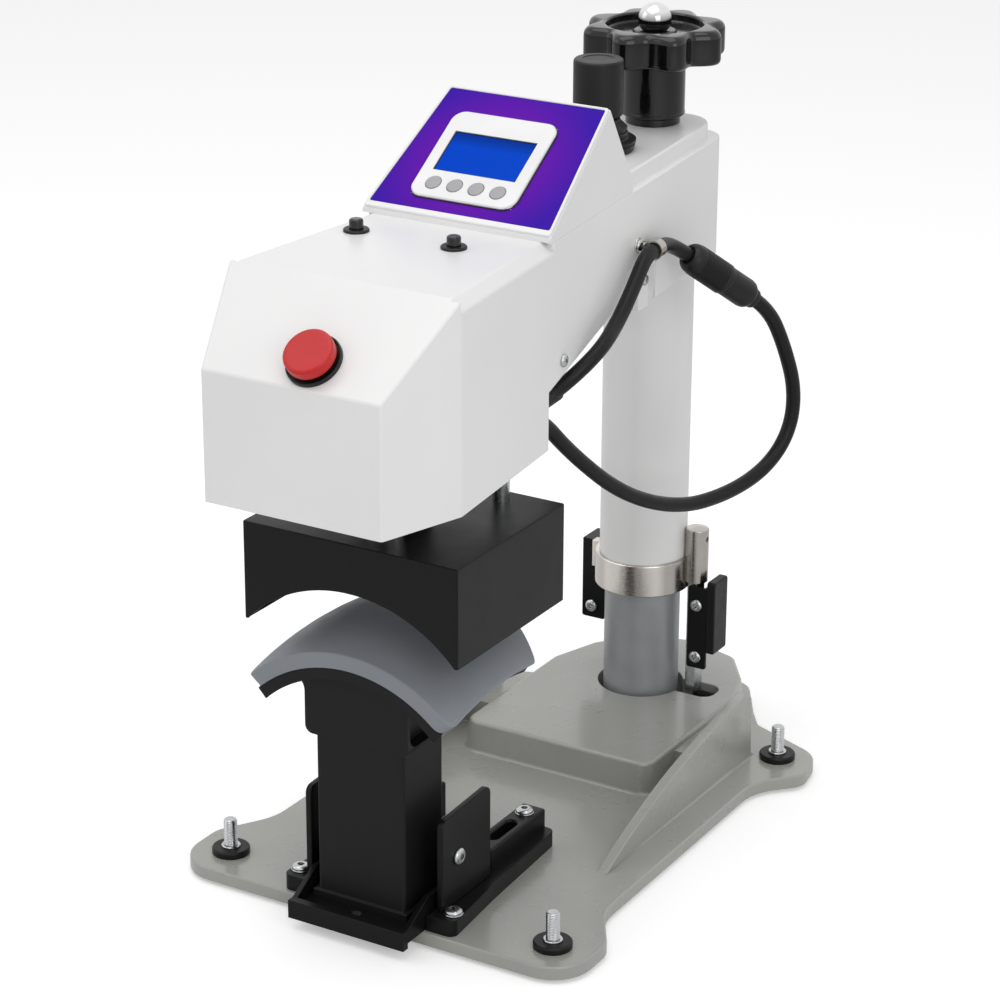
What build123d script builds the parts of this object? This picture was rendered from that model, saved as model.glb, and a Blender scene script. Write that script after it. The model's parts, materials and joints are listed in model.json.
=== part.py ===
from build123d import *
from math import asin, atan2, cos, degrees, pi, radians, sin, sqrt, tan
import os

os.makedirs("parts", exist_ok=True)

# Cap heat press.  Origin: axis of the upright column on the surface the press stands on.
# +Z is up, the operator stands on the -Y side, X is across the press.

# ---------------------------------------------------------------- driving dimensions
fit = 0.05                      # radial running clearance

foot_pad_h = 3.0                # rubber under the casting
foot_pad_r = 12.0
plate_t = 10.0
plate_z = foot_pad_h            # underside of the casting
plate_top = plate_z + plate_t
foot_x = 135.5
foot_front_y = -375.4
foot_rear_y = -26.4
foot_disc_r = 14.0
foot_disc_h = 5.0
stud_r = 5.0
stud_top = 40.0
stud_core_r = stud_r - 0.1       # unthreaded length through the casting
stud_hole_r = stud_core_r + 0.05
stud_collar_r = 7.0
stud_collar_h = 1.6

ped_top = 38.0                  # top of the pedestal round the column
ped_wall = 7.0
keyhole_r = 34.0
socket_floor = 20.0
rib_x = 112.0
rib_t = 8.0

column_r = 29.8                 # fixed steel tube
column_wall = 4.0
column_top = 432.0
sleeve_r = 34.4                 # white tube that slides on it
sleeve_wall = 2.6
sleeve_low = 126.0
sleeve_top = 478.0
bush_r = sleeve_r - sleeve_wall
bush_h = 30.0

stroke = 32.0                   # travel of the head

collar_r = 37.8
collar_low = 124.0
collar_top = 150.0
rod_x = 43.0
rod_y = 8.5
rod_af = 13.0                   # hexagon across flats
rod_low = 36.0
rod_top = 158.0
boss_r = 9.2                     # round boss of the ring that holds the rod
boss_top = 174.0

head_low = 337.0
head_top = 484.0
front_y = -484.5
front_half = 69.0
crease_y = -420.0
crease_half = 89.5
taper = -0.105                  # change of half width per mm towards the column
head_back_y = -282.0
arm_low = 392.0
arm_back_y = 26.0
sheet = 2.0
slope_z = 429.0                 # top of the short front wall
edge_chamfer = 8.0

platen_half = 85.7
platen_front_y = -419.9
platen_back_y = -277.9
platen_low = 226.6
platen_top = 298.6
platen_mid_y = (platen_front_y + platen_back_y) / 2
arc_r = 114.0                   # cut in the end walls of the cover
arc_z = 148.7
heat_r = 115.5                  # working face of the heated plate
heat_t = 12.0
heat_half_angle = 39.0

pad_r = 119.0                   # working face of the silicone pad
pad_t = 11.0
pad_top = 228.0
pad_mid_y = -350.0
pad_crown_r = 300.0             # crown from front to back
pad_front_y = -424.0
pad_half = 83.0                  # half width of the working face, its ends cut on radii
pad_back_r = 120.0
pad_back_cy = pad_mid_y - 48.0
cradle_t = 9.0

tray_half = 48.0
tray_front_y = -430.0
tray_back_y = -326.0
tray_floor_t = 6.5
tray_gap = 0.1
tray_wall = 4.0
tray_wall_top = 37.0
post_half = 36.0
post_front_y = -408.5
post_back_y = -358.5
post_top = 148.0
sled_travel = 60.0

rail_in = tray_half + 0.5
rail_front_half = 71.8           # the outer edge of a rail leans in towards the rear
rail_mid_half = 66.0
rail_rear_half = 60.5
rail_front_y = tray_front_y + 28.0
rail_back_y = tray_back_y + 84.0
rail_step_z = 25.0
rail_top_z = 40.0
bolt_front = (64.0, rail_front_y + 12.0)
bolt_rear = (42.5, rail_back_y - 14.0)
bolt_core_r = 2.5
guide_in = 52.0
guide_out = 57.0

cap_top = head_top + 12.0        # raised top of the arm
knob_r = 54.5
knob_low = cap_top + 49.0
knob_top = knob_low + 26.0
hub_r = 24.0
ball_r = 12.5
ball_z = knob_top + 2.5

cable_r = 5.5


def side_half(y, inset=0.0):
    """Half width of the head and arm at a station along Y."""
    return crease_half + taper * (y - crease_y) - inset


side_angle = degrees(atan2(-taper, 1.0))


def side_plane(y, z):
    """Plane on the right flank of the head: local X runs to the rear, local Z points outwards."""
    x_dir = Vector(taper, 1.0, 0.0).normalized()
    return Plane(origin=(side_half(y), y, z), x_dir=x_dir, z_dir=Vector(1.0, -taper, 0.0).normalized())


# ---------------------------------------------------------------- base casting
outline = [
    (0.0, foot_front_y - 30.0),
    (165.5, foot_front_y - 30.0),
    (165.5, -352.0),
    (141.0, -312.0),
    (139.0, -74.0),
    (167.0, -44.0),
    (161.0, -7.0),
    (96.0, 20.0),
    (82.0, 40.0),
    (56.0, 84.0),
    (0.0, 100.0),
]
outline_radii = [30.0, 22.0, 45.0, 45.0, 16.0, 28.0, 12.0, 20.0, 22.0]
ped_half = 84.0
ped_front_y = -140.0
ped_outline = [
    (-ped_half, ped_front_y),
    (ped_half, ped_front_y),
    (ped_half, 4.0),
    (70.0, 46.0),
    (46.0, 80.0),
    (0.0, 94.0),
    (-46.0, 80.0),
    (-70.0, 46.0),
    (-ped_half, 4.0),
]

with BuildPart() as base_casting:
    with BuildSketch(Plane.XY.offset(plate_z)):
        with BuildLine():
            right = FilletPolyline(*outline, radius=outline_radii)
            mirror(right, about=Plane.YZ)
        make_face()
    extrude(amount=plate_t)
    with BuildSketch(Plane.XY.offset(plate_top - 1.0)):
        Polygon(*ped_outline, align=None)
        fillet(vertices(), radius=14.0)
    extrude(amount=ped_top - plate_top + 1.0, taper=6.0)
    for side in (-1, 1):
        with BuildSketch(Plane.YZ.offset(side * rib_x)):
            with BuildLine():
                Polyline((-268.0, plate_top - 1.0), (-32.0, plate_top - 1.0), (-34.0, 62.0), (-44.0, 69.0))
                Spline((-44.0, 69.0), (-100.0, 61.0), (-157.0, 50.0), (-212.0, 34.0), (-268.0, plate_top - 1.0))
            make_face()
        extrude(amount=rib_t / 2, both=True)
        with BuildSketch(Plane.XY.offset(plate_top - 1.0)):
            with Locations((side * (rib_x + ped_half) / 2, -68.0)):
                Rectangle(rib_x - ped_half + 6.0, 56.0)
        extrude(amount=ped_top - plate_top - 3.0)
    # open underside, with a boss round the column
    with BuildSketch(Plane.XY.offset(plate_z)):
        Polygon(*ped_outline, align=None)
        fillet(vertices(), radius=14.0)
        offset(amount=-ped_wall - 3.0)
        Circle(column_r + 12.0, mode=Mode.SUBTRACT)
    extrude(amount=ped_top - plate_z - 7.0, mode=Mode.SUBTRACT)
    # keyhole: clearance round the column and the slot for the guide rod
    with BuildSketch(Plane.XY.offset(socket_floor)):
        Circle(keyhole_r)
    extrude(amount=40.0, mode=Mode.SUBTRACT)
    with BuildSketch(Plane.XY):
        with Locations((rod_x + 2.0, rod_y - 1.5)):
            RectangleRounded(38.0, 25.0, 10.0)
    extrude(amount=60.0, mode=Mode.SUBTRACT)
    with BuildSketch(Plane.XY):
        Circle(column_r)
    extrude(amount=socket_floor + 1.0, mode=Mode.SUBTRACT)
    with Locations(*[(sx * foot_x, fy, plate_top) for sx in (-1, 1) for fy in (foot_front_y, foot_rear_y)]):
        Hole(stud_hole_r)
    with Locations(*[(sx * bx, by, plate_top) for sx in (-1, 1) for bx, by in (bolt_front, bolt_rear)]):
        Hole(bolt_core_r)
base_casting.part.label = "base_casting"
export_step(base_casting.part, "parts/base_casting.step")

# ---------------------------------------------------------------- levelling feet
foot_spots = [(sx * foot_x, fy) for sx in (-1, 1) for fy in (foot_front_y, foot_rear_y)]

with BuildPart() as foot_pads:
    with BuildSketch(Plane.XY):
        with Locations(*foot_spots):
            Circle(foot_pad_r)
    extrude(amount=foot_pad_h)
    with BuildSketch(Plane.XY.offset(1.0)):
        with Locations(*foot_spots):
            Circle(stud_core_r)
    extrude(amount=foot_pad_h, mode=Mode.SUBTRACT)

with BuildPart() as foot_studs:
    with BuildSketch(Plane.XY.offset(1.0)):
        with Locations(*foot_spots):
            Circle(stud_core_r)
    extrude(amount=plate_top + foot_disc_h - 1.0)
    with BuildSketch(Plane.XY.offset(plate_top + foot_disc_h)):
        with Locations(*foot_spots):
            Circle(stud_collar_r)
    extrude(amount=stud_collar_h)
    with BuildSketch(Plane.XY.offset(plate_top + foot_disc_h + stud_collar_h)):
        with Locations(*foot_spots):
            Circle(stud_r)
    extrude(amount=stud_top - plate_top - foot_disc_h - stud_collar_h)
    chamfer(edges().group_by(Axis.Z)[-1], length=0.9)
foot_studs.part.label = "foot_studs"
export_step(foot_studs.part, "parts/foot_studs.step")

with BuildPart() as foot_rubbers:
    add(foot_pads.part)
    with BuildSketch(Plane.XY.offset(plate_top)):
        with Locations(*foot_spots):
            Circle(foot_disc_r)
            Circle(stud_core_r + 0.02, mode=Mode.SUBTRACT)
    extrude(amount=foot_disc_h)
    chamfer(edges().group_by(Axis.Z)[-1].filter_by(lambda e: e.radius > foot_disc_r - 1.0), length=1.0)
foot_rubbers.part.label = "foot_rubbers"
export_step(foot_rubbers.part, "parts/foot_rubbers.step")

# ---------------------------------------------------------------- column and its drive
with BuildPart() as column_tube:
    with BuildSketch(Plane.XY.offset(plate_z)):
        Circle(column_r)
        Circle(column_r - column_wall, mode=Mode.SUBTRACT)
    extrude(amount=column_top - plate_z)
column_tube.part.label = "column_tube"
export_step(column_tube.part, "parts/column_tube.step")

drive_foot = 12.0
drive_r = 20.0
drive_top = 318.0                # stays under the pressure nut at full stroke
drive_rod_r = 8.0
drive_rod_low = 262.0
drive_rod_top = 368.0

with BuildPart() as lift_drive:
    with BuildSketch(Plane.XY.offset(plate_z)):
        Circle(column_r - column_wall)
    extrude(amount=drive_foot - plate_z)
    with BuildSketch(Plane.XY.offset(drive_foot)):
        Circle(drive_r)
    extrude(amount=drive_top - drive_foot)
    with BuildSketch(Plane.XY.offset(drive_rod_low - stroke - 6.0)):
        Circle(drive_rod_r + fit)
    extrude(amount=200.0, mode=Mode.SUBTRACT)
lift_drive.part.label = "lift_drive"
export_step(lift_drive.part, "parts/lift_drive.step")

with BuildPart() as drive_rod:
    with BuildSketch(Plane.XY.offset(drive_rod_low)):
        Circle(drive_rod_r)
    extrude(amount=drive_rod_top - drive_rod_low)
drive_rod.part.label = "drive_rod"
export_step(drive_rod.part, "parts/drive_rod.step")

# ---------------------------------------------------------------- rails beside the sled
rail_outer_profile = [
    (rail_in, rail_front_y),
    (rail_front_half, rail_front_y),
    (rail_mid_half, rail_front_y + 64.0),
    (rail_rear_half, rail_back_y),
    (rail_in, rail_back_y),
]
tier_in = 33.0
tier_out = rail_in + 4.0
tier_front_y = tray_back_y + 6.0
slot_w = 9.0


def build_rail(side):
    with BuildPart() as rail:
        with BuildSketch(Plane.XY.offset(plate_top)):
            Polygon(*[(side * x, y) for x, y in rail_outer_profile], align=None)
            fillet(vertices().sort_by(Axis.X if side > 0 else -Axis.X)[-3:], radius=6.0)
        extrude(amount=rail_step_z - plate_top)
        with BuildSketch(Plane.XY.offset(plate_top)):
            with Locations((side * (tier_in + tier_out) / 2, (tier_front_y + rail_back_y) / 2)):
                RectangleRounded(tier_out - tier_in, rail_back_y - tier_front_y, 2.0)
        extrude(amount=rail_top_z - plate_top)
        with BuildSketch(Plane.XY.offset(rail_top_z - 9.0)):
            with Locations((side * bolt_rear[0], rail_back_y - 46.0)):
                SlotOverall(34.0, slot_w, rotation=90)
        extrude(amount=20.0, mode=Mode.SUBTRACT)
        chamfer(edges().group_by(Axis.Z)[-1], length=1.2)
        with Locations((side * bolt_front[0], bolt_front[1], rail_step_z)):
            Hole(bolt_core_r)
        with Locations((side * bolt_rear[0], bolt_rear[1], rail_top_z)):
            Hole(bolt_core_r)
    return rail.part


with BuildPart() as rails:
    add(build_rail(1))
    add(build_rail(-1))
rails.part.label = "rails"
export_step(rails.part, "parts/rails.step")

bolt_head_r = 6.5
bolt_head_h = 4.0
hex_socket = 4.6
with BuildPart() as rail_bolts:
    for side in (-1, 1):
        for (bx, by), seat_z in ((bolt_front, rail_step_z), (bolt_rear, rail_top_z)):
            with BuildSketch(Plane.XY.offset(seat_z)):
                with Locations((side * bx, by)):
                    Circle(bolt_head_r)
            extrude(amount=bolt_head_h)
            with BuildSketch(Plane.XY.offset(plate_z + 1.0)):
                with Locations((side * bx, by)):
                    Circle(bolt_core_r)
            extrude(amount=seat_z - plate_z - 1.0)
            with BuildSketch(Plane.XY.offset(seat_z + 1.6)):
                with Locations((side * bx, by)):
                    RegularPolygon(radius=hex_socket / 2 / cos(radians(30)), side_count=6)
            extrude(amount=5.0, mode=Mode.SUBTRACT)

guide_front_y = rail_front_y + 9.0
guide_back_y = guide_front_y + 65.0
guide_top = 97.0
guide_screw_y = guide_front_y + 21.0
guide_screw_z = 60.0
guide_corner_r = 6.0
guide_head_r = 6.4
guide_head_h = 3.4


def build_guide(side):
    with BuildPart() as guide:
        with BuildSketch(Plane.YZ.offset(side * (guide_in + guide_out) / 2)):
            Polygon(
                (guide_front_y, rail_step_z),
                (guide_back_y, rail_step_z),
                (guide_back_y, guide_top),
                (guide_front_y, guide_top - 3.0),
                align=None,
            )
            fillet(vertices().sort_by(Axis.Y)[-2:], radius=guide_corner_r)
        extrude(amount=(guide_out - guide_in) / 2, both=True)
        with BuildSketch(Plane.YZ.offset(side * (guide_in - 1.0))):
            with Locations((guide_screw_y, guide_screw_z)):
                Circle(2.5)
        extrude(amount=side * 10.0, mode=Mode.SUBTRACT)
    return guide.part


with BuildPart() as guide_plates:
    add(build_guide(1))
    add(build_guide(-1))
guide_plates.part.label = "guide_plates"
export_step(guide_plates.part, "parts/guide_plates.step")

with BuildPart() as rail_screws:
    add(rail_bolts.part)
    for side in (-1, 1):
        with BuildSketch(Plane.YZ.offset(side * guide_out)):
            with Locations((guide_screw_y, guide_screw_z)):
                Circle(guide_head_r)
        extrude(amount=side * guide_head_h)
        with BuildSketch(Plane.YZ.offset(side * (guide_in - 2.0))):
            with Locations((guide_screw_y, guide_screw_z)):
                Circle(2.5)
        extrude(amount=side * (guide_out - guide_in + 2.0))
        with BuildSketch(Plane.YZ.offset(side * (guide_in - 2.0))):
            with Locations((guide_screw_y, guide_screw_z)):
                Circle(4.0)
        extrude(amount=side * 2.0)
        with BuildSketch(Plane.YZ.offset(side * (guide_out + 1.2))):
            with Locations((guide_screw_y, guide_screw_z)):
                RegularPolygon(radius=2.6, side_count=6)
        extrude(amount=side * 5.0, mode=Mode.SUBTRACT)
rail_screws.part.label = "rail_screws"
export_step(rail_screws.part, "parts/rail_screws.step")

# ---------------------------------------------------------------- sled with the lower platen
tray_z = plate_top + tray_gap
tray_floor = tray_z + tray_floor_t
lip_low = 9.0
lip_top = 23.0
lip_t = 6.0
flange_h = 7.0
tray_hole_y = tray_front_y + 13.0
post_bolt_x = 22.0
post_bolts_xy = [(sx * post_bolt_x, by) for by in (post_front_y + 13.5, post_back_y - 13.5) for sx in (-1, 1)]

with BuildPart() as sled_tray:
    with BuildSketch(Plane.XY.offset(tray_z)):
        with Locations((0.0, (tray_front_y + tray_back_y) / 2)):
            Rectangle(2 * tray_half, tray_back_y - tray_front_y)
    extrude(amount=tray_floor_t)
    with BuildSketch(Plane.XY.offset(lip_low)):
        with Locations((0.0, tray_front_y + lip_t / 2)):
            Rectangle(2 * tray_half, lip_t)
    extrude(amount=lip_top - lip_low)
    for side in (-1, 1):
        with BuildSketch(Plane.YZ.offset(side * (tray_half - tray_wall / 2))):
            Polygon(
                (tray_front_y + 2.0, tray_floor - 1.0),
                (tray_back_y, tray_floor - 1.0),
                (tray_back_y, tray_wall_top),
                (tray_front_y + 32.0, tray_wall_top),
                (tray_front_y + 5.0, lip_top - 0.5),
                (tray_front_y + 2.0, lip_top - 1.0),
                align=None,
            )
        extrude(amount=tray_wall / 2, both=True)
    with Locations((0.0, tray_hole_y, tray_floor)):
        CounterSinkHole(radius=2.6, counter_sink_radius=5.0)
    with Locations(*[(bx, by, tray_floor) for bx, by in post_bolts_xy]):
        Hole(3.0)
sled_tray.part.label = "sled_tray"
export_step(sled_tray.part, "parts/sled_tray.step")

with BuildPart() as platen_post:
    with BuildSketch(Plane.XY.offset(tray_floor)):
        with Locations((0.0, (post_front_y + post_back_y) / 2)):
            Rectangle(2 * post_half + 6.0, post_back_y - post_front_y + 6.0)
    extrude(amount=flange_h)
    with BuildSketch(Plane.XY.offset(tray_floor + flange_h)):
        with Locations((0.0, (post_front_y + post_back_y) / 2)):
            RectangleRounded(2 * post_half, post_back_y - post_front_y, 2.0)
    extrude(amount=post_top - tray_floor - flange_h)
    with BuildSketch(Plane.XY.offset(post_top - 12.0)):
        with Locations((-20.0, (post_front_y + post_back_y) / 2), (20.0, (post_front_y + post_back_y) / 2)):
            Circle(3.0)
    extrude(amount=12.0, mode=Mode.SUBTRACT)
    with BuildSketch(Plane.XY.offset(tray_floor)):
        with Locations(*post_bolts_xy):
            Circle(3.0)
    extrude(amount=14.0, mode=Mode.SUBTRACT)
platen_post.part.label = "platen_post"
export_step(platen_post.part, "parts/platen_post.step")

with BuildPart() as post_screws:
    with BuildSketch(Plane.XY.offset(tray_z + 0.5)):
        with Locations(*post_bolts_xy):
            Circle(3.0)
    extrude(amount=tray_floor + 14.0 - tray_z - 0.5)
post_screws.part.label = "post_screws"
export_step(post_screws.part, "parts/post_screws.step")

crown_axis_z = pad_top - pad_crown_r
crown_axis = Axis((0.0, pad_mid_y, crown_axis_z), (1.0, 0.0, 0.0))
crown_swing = 36.0
pad_centre_z = pad_top - pad_r
pad_plane = Plane(origin=(0.0, pad_mid_y, 0.0), x_dir=(1.0, 0.0, 0.0), z_dir=(0.0, -1.0, 0.0))


def wedge(centre_z, reach, half_angle):
    """Corners of a wedge that opens upwards from the centre of an arc."""
    side_x = 2 * reach * sin(radians(half_angle))
    side_z = centre_z + 2 * reach * cos(radians(half_angle))
    return [
        (0.0, centre_z),
        (side_x, side_z),
        (side_x, centre_z + 3 * reach),
        (-side_x, centre_z + 3 * reach),
        (-side_x, side_z),
    ]


def crowned_layer(outer, inner, half_angle):
    """Curved plate between two radii with its ends on radii, crowned from front to back."""
    with BuildPart() as layer:
        with BuildSketch(pad_plane):
            with Locations((0.0, pad_centre_z)):
                Circle(outer)
                Circle(inner, mode=Mode.SUBTRACT)
            Polygon(*wedge(pad_centre_z, outer, half_angle), align=None, mode=Mode.INTERSECT)
        revolve(axis=crown_axis, revolution_arc=crown_swing)
    return layer.part.rotate(crown_axis, -crown_swing / 2)


def pad_plan(half, front_y, back_r, corner):
    """Plan outline of the pad: straight front, round back."""
    side_end = pad_back_cy + sqrt(back_r ** 2 - half ** 2)
    with BuildSketch(Plane.XY) as plan:
        with BuildLine():
            Polyline((-half, side_end), (-half, front_y), (half, front_y), (half, side_end))
            ThreePointArc((half, side_end), (0.0, pad_back_cy + back_r), (-half, side_end))
        make_face()
        fillet(vertices().group_by(Axis.Y)[0], radius=corner)
        fillet(vertices().group_by(Axis.Y)[-1], radius=corner)
    return plan.sketch


pad_angle = degrees(asin(pad_half / pad_r))
pad_layer = crowned_layer(pad_r, pad_r - pad_t, pad_angle)
pad_sketch = pad_plan(pad_half + 0.4, pad_front_y, pad_back_r, 9.0)
with BuildPart() as silicone_pad:
    add(pad_layer)
    extrude(pad_sketch, amount=400.0, mode=Mode.INTERSECT)
silicone_pad.part.label = "silicone_pad"
export_step(silicone_pad.part, "parts/silicone_pad.step")

cradle_out_r = pad_r - pad_t
cradle_in_r = cradle_out_r - cradle_t
cradle_layer = crowned_layer(cradle_out_r, cradle_in_r, pad_angle - 0.8)
cradle_sketch = pad_plan(pad_half - 1.1, pad_front_y + 2.0, pad_back_r - 2.0, 8.0)
neck_void = crowned_layer(pad_r + 60.0, cradle_in_r + 1.0, 60.0)
neck_half = 42.0
neck_front_y = post_front_y - 4.5
neck_back_y = post_back_y + 6.5
neck_fillet = 11.0
neck_corner_r = 6.0
neck_skin = 3.0                   # front and back wall of the neck beside its pockets
pocket_depth = 9.0
pocket_low = 153.0
pocket_top = 187.0
pocket_r = 9.0


# centre of the fillet between a side of the neck and the cradle
root_x = neck_half + neck_fillet
root_z = pad_centre_z + sqrt((cradle_in_r - neck_fillet) ** 2 - root_x ** 2)
root_stretch = (cradle_in_r + 1.0) / (cradle_in_r - neck_fillet)
root_end_x = root_x * root_stretch
root_end_z = pad_centre_z + (root_z - pad_centre_z) * root_stretch

with BuildPart() as neck_block:
    with BuildSketch(Plane.XZ.offset(-neck_back_y)):
        with Locations((0.0, post_top)):
            Rectangle(2 * neck_half, pad_centre_z + cradle_in_r - post_top, align=(Align.CENTER, Align.MIN))
        for side in (-1, 1):
            Polygon(
                (side * (neck_half - 1.0), root_z),
                (side * root_x, root_z),
                (side * root_end_x, root_end_z),
                (side * (neck_half - 1.0), root_end_z + 4.0),
                align=None,
            )
        with Locations((root_x, root_z), (-root_x, root_z)):
            Circle(neck_fillet, mode=Mode.SUBTRACT)
    extrude(amount=neck_back_y - neck_front_y)
    fillet(edges().filter_by(Axis.Y).group_by(Axis.Z)[0], radius=neck_corner_r)
    add(neck_void, mode=Mode.SUBTRACT)
    for side in (-1, 1):
        with BuildSketch(Plane.YZ.offset(side * (neck_half - pocket_depth))):
            with Locations(((neck_front_y + neck_back_y) / 2, (pocket_low + pocket_top) / 2)):
                RectangleRounded(neck_back_y - neck_front_y - 2 * neck_skin, pocket_top - pocket_low, pocket_r)
        extrude(amount=side * (pocket_depth + 20.0), mode=Mode.SUBTRACT)
with BuildPart() as platen_cradle:
    add(cradle_layer)
    extrude(cradle_sketch, amount=400.0, mode=Mode.INTERSECT)
    add(neck_block.part)
platen_cradle.part.label = "platen_cradle"
export_step(platen_cradle.part, "parts/platen_cradle.step")

# ---------------------------------------------------------------- heated platen under the head
cover_wall = 2.0
heat_front_y = platen_front_y + cover_wall
heat_back_y = platen_back_y - cover_wall

with BuildPart() as platen_cover:
    with BuildSketch(Plane.XY.offset(platen_low)):
        with Locations((0.0, platen_mid_y)):
            Rectangle(2 * platen_half, platen_back_y - platen_front_y)
    extrude(amount=platen_top - platen_low)
    fillet(edges().filter_by(Axis.Z), radius=1.5)
    with BuildSketch(Plane.XY.offset(platen_low)):
        with Locations((0.0, platen_mid_y)):
            Rectangle(2 * (platen_half - cover_wall), heat_back_y - heat_front_y)
    extrude(amount=platen_top - platen_low - cover_wall, mode=Mode.SUBTRACT)
    with BuildSketch(Plane.XZ.offset(-platen_back_y - 5.0)):
        with Locations((0.0, arc_z)):
            Circle(arc_r)
    extrude(amount=platen_back_y - platen_front_y + 10.0, mode=Mode.SUBTRACT)
platen_cover.part.label = "platen_cover"
export_step(platen_cover.part, "parts/platen_cover.step")


def arched_plate(inner, outer, half_angle, y_front, y_back):
    """Plate bent to an arch over the cap, with its edges on radii."""
    with BuildPart() as plate:
        with BuildSketch(Plane.XZ.offset(-y_back)):
            with Locations((0.0, arc_z)):
                Circle(outer)
                Circle(inner, mode=Mode.SUBTRACT)
            with BuildLine():
                Polyline(
                    (0.0, arc_z),
                    (2 * outer * sin(radians(half_angle)), arc_z + 2 * outer * cos(radians(half_angle))),
                    (2 * outer * sin(radians(half_angle)), arc_z + 3 * outer),
                    (-2 * outer * sin(radians(half_angle)), arc_z + 3 * outer),
                    (-2 * outer * sin(radians(half_angle)), arc_z + 2 * outer * cos(radians(half_angle))),
                    (0.0, arc_z),
                )
            make_face(mode=Mode.INTERSECT)
        extrude(amount=y_back - y_front)
    return plate.part


heat_plate = arched_plate(heat_r, heat_r + heat_t, heat_half_angle, heat_front_y, heat_back_y)
heat_plate.label = "heat_plate"
export_step(heat_plate, "parts/heat_plate.step")

element_t = 3.0
element_margin = 6.0
heating_element = arched_plate(
    heat_r + heat_t, heat_r + heat_t + element_t, heat_half_angle - 5.0,
    heat_front_y + element_margin, heat_back_y - element_margin,
)

insulation_top = platen_top - cover_wall
insulation_low = arc_z + heat_r + heat_t + element_t + 0.3
with BuildPart() as heater_pack:
    add(heating_element)
    with BuildSketch(Plane.XY.offset(insulation_low)):
        with Locations((0.0, platen_mid_y)):
            Rectangle(110.0, heat_back_y - heat_front_y - 20.0)
    extrude(amount=insulation_top - insulation_low)
heater_pack.part.label = "heater_pack"
export_step(heater_pack.part, "parts/heater_pack.step")

# ---------------------------------------------------------------- head and arm
arm_corner = 20.0
arm_rear_y = 41.5
chamfer_end_y = -276.0            # rear end of the chamfer along the head
ramp_z = 378.0                   # low edge of the rear wall
block_front_y = -95.0            # the arm is deeper round the sleeve
block_top_z = 420.0


def head_profile(low_open):
    """Side outline of the head and arm, from the front wall round to the rear wall."""
    return [
        (front_y, head_low - low_open),
        (front_y, slope_z),
        (crease_y, head_top),
        (arm_rear_y, head_top),
        (arm_rear_y, arm_low),
        (block_front_y, arm_low),
        (block_front_y, block_top_z),
        (head_back_y, ramp_z),
        (head_back_y, head_low - low_open),
    ]


def head_form(grow, low_open):
    """Outer form of the head and arm, or the space inside it when grow is the sheet thickness."""
    with BuildPart() as form:
        with BuildSketch(Plane.YZ.offset(-110.0)):
            Polygon(*head_profile(low_open), align=None)
            offset(amount=-grow, kind=Kind.INTERSECTION)
        extrude(amount=220.0)
        with BuildSketch(Plane.XY.offset(head_low - 20.0)):
            Polygon(
                (-front_half, front_y),
                (front_half, front_y),
                (crease_half, crease_y),
                (side_half(arm_rear_y), arm_rear_y),
                (-side_half(arm_rear_y), arm_rear_y),
                (-crease_half, crease_y),
                align=None,
            )
            fillet(vertices().group_by(Axis.Y)[-1], radius=arm_corner)
            offset(amount=-grow, kind=Kind.INTERSECTION)
        extrude(amount=220.0, mode=Mode.INTERSECT)
        leg = edge_chamfer - grow * (2 - sqrt(2))
        for side in (-1, 1):
            corner = Plane(
                origin=(side * side_half(crease_y, grow), crease_y, head_top - grow),
                x_dir=Vector(side, -taper, 0.0).normalized(),
                z_dir=Vector(side * taper, 1.0, 0.0).normalized(),
            )
            with BuildSketch(corner):
                Polygon(
                    (-leg, 0.0),
                    (0.0, side * leg),
                    (4.0, side * leg),
                    (4.0, -side * 4.0),
                    (-leg, -side * 4.0),
                    align=None,
                )
            extrude(amount=chamfer_end_y - crease_y, mode=Mode.SUBTRACT)
    return form.part


# control face on the head
face_tilt = 33.4
face_foot_y = -282.6
face_foot_z = 487.8
face_len = 119.0
console_back_y = -140.0
console_back_z = 492.0
stop_s = 21.5                    # up the slope from the front wall
stop_x = 9.0
stop_hole_r = 11.0
slope_angle = degrees(atan2(head_top - slope_z, crease_y - front_y))
slope_plane = Plane(
    origin=(0.0, front_y, slope_z),
    x_dir=(1.0, 0.0, 0.0),
    z_dir=(0.0, -sin(radians(slope_angle)), cos(radians(slope_angle))),
)
face_plane = Plane(
    origin=(0.0, face_foot_y, face_foot_z),
    x_dir=(1.0, 0.0, 0.0),
    z_dir=(0.0, -sin(radians(face_tilt)), cos(radians(face_tilt))),
)
start_spots = [(-52.5, -325.0), (25.0, -325.0)]
start_barrel_r = 6.0
hanger_r = 6.0
hanger_spots = [(-44.0, -294.0), (44.0, -294.0), (-15.0, -385.0), (15.0, -385.0)]
inlet_x = -30.0
inlet_z = 358.0
inlet_w = 27.0
inlet_h = 20.0
lead_x = 62.0                    # heater lead out of the rear wall
lead_z = 367.0
return_x = 44.0                  # and back in beside it
return_z = 348.0
gland_spots = [(lead_x, lead_z), (return_x, return_z)]
gland_r = 9.0
gland_hole_r = 7.0
screw_r = 2.0
flank_screws = [(-260.0, 395.0)]
clip_screw_y = -130.0
clip_screw_z = 441.5
window_low = 12.0                # opening behind the control face
window_top = 98.0
window_half = 44.0
window_x = -4.0

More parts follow.
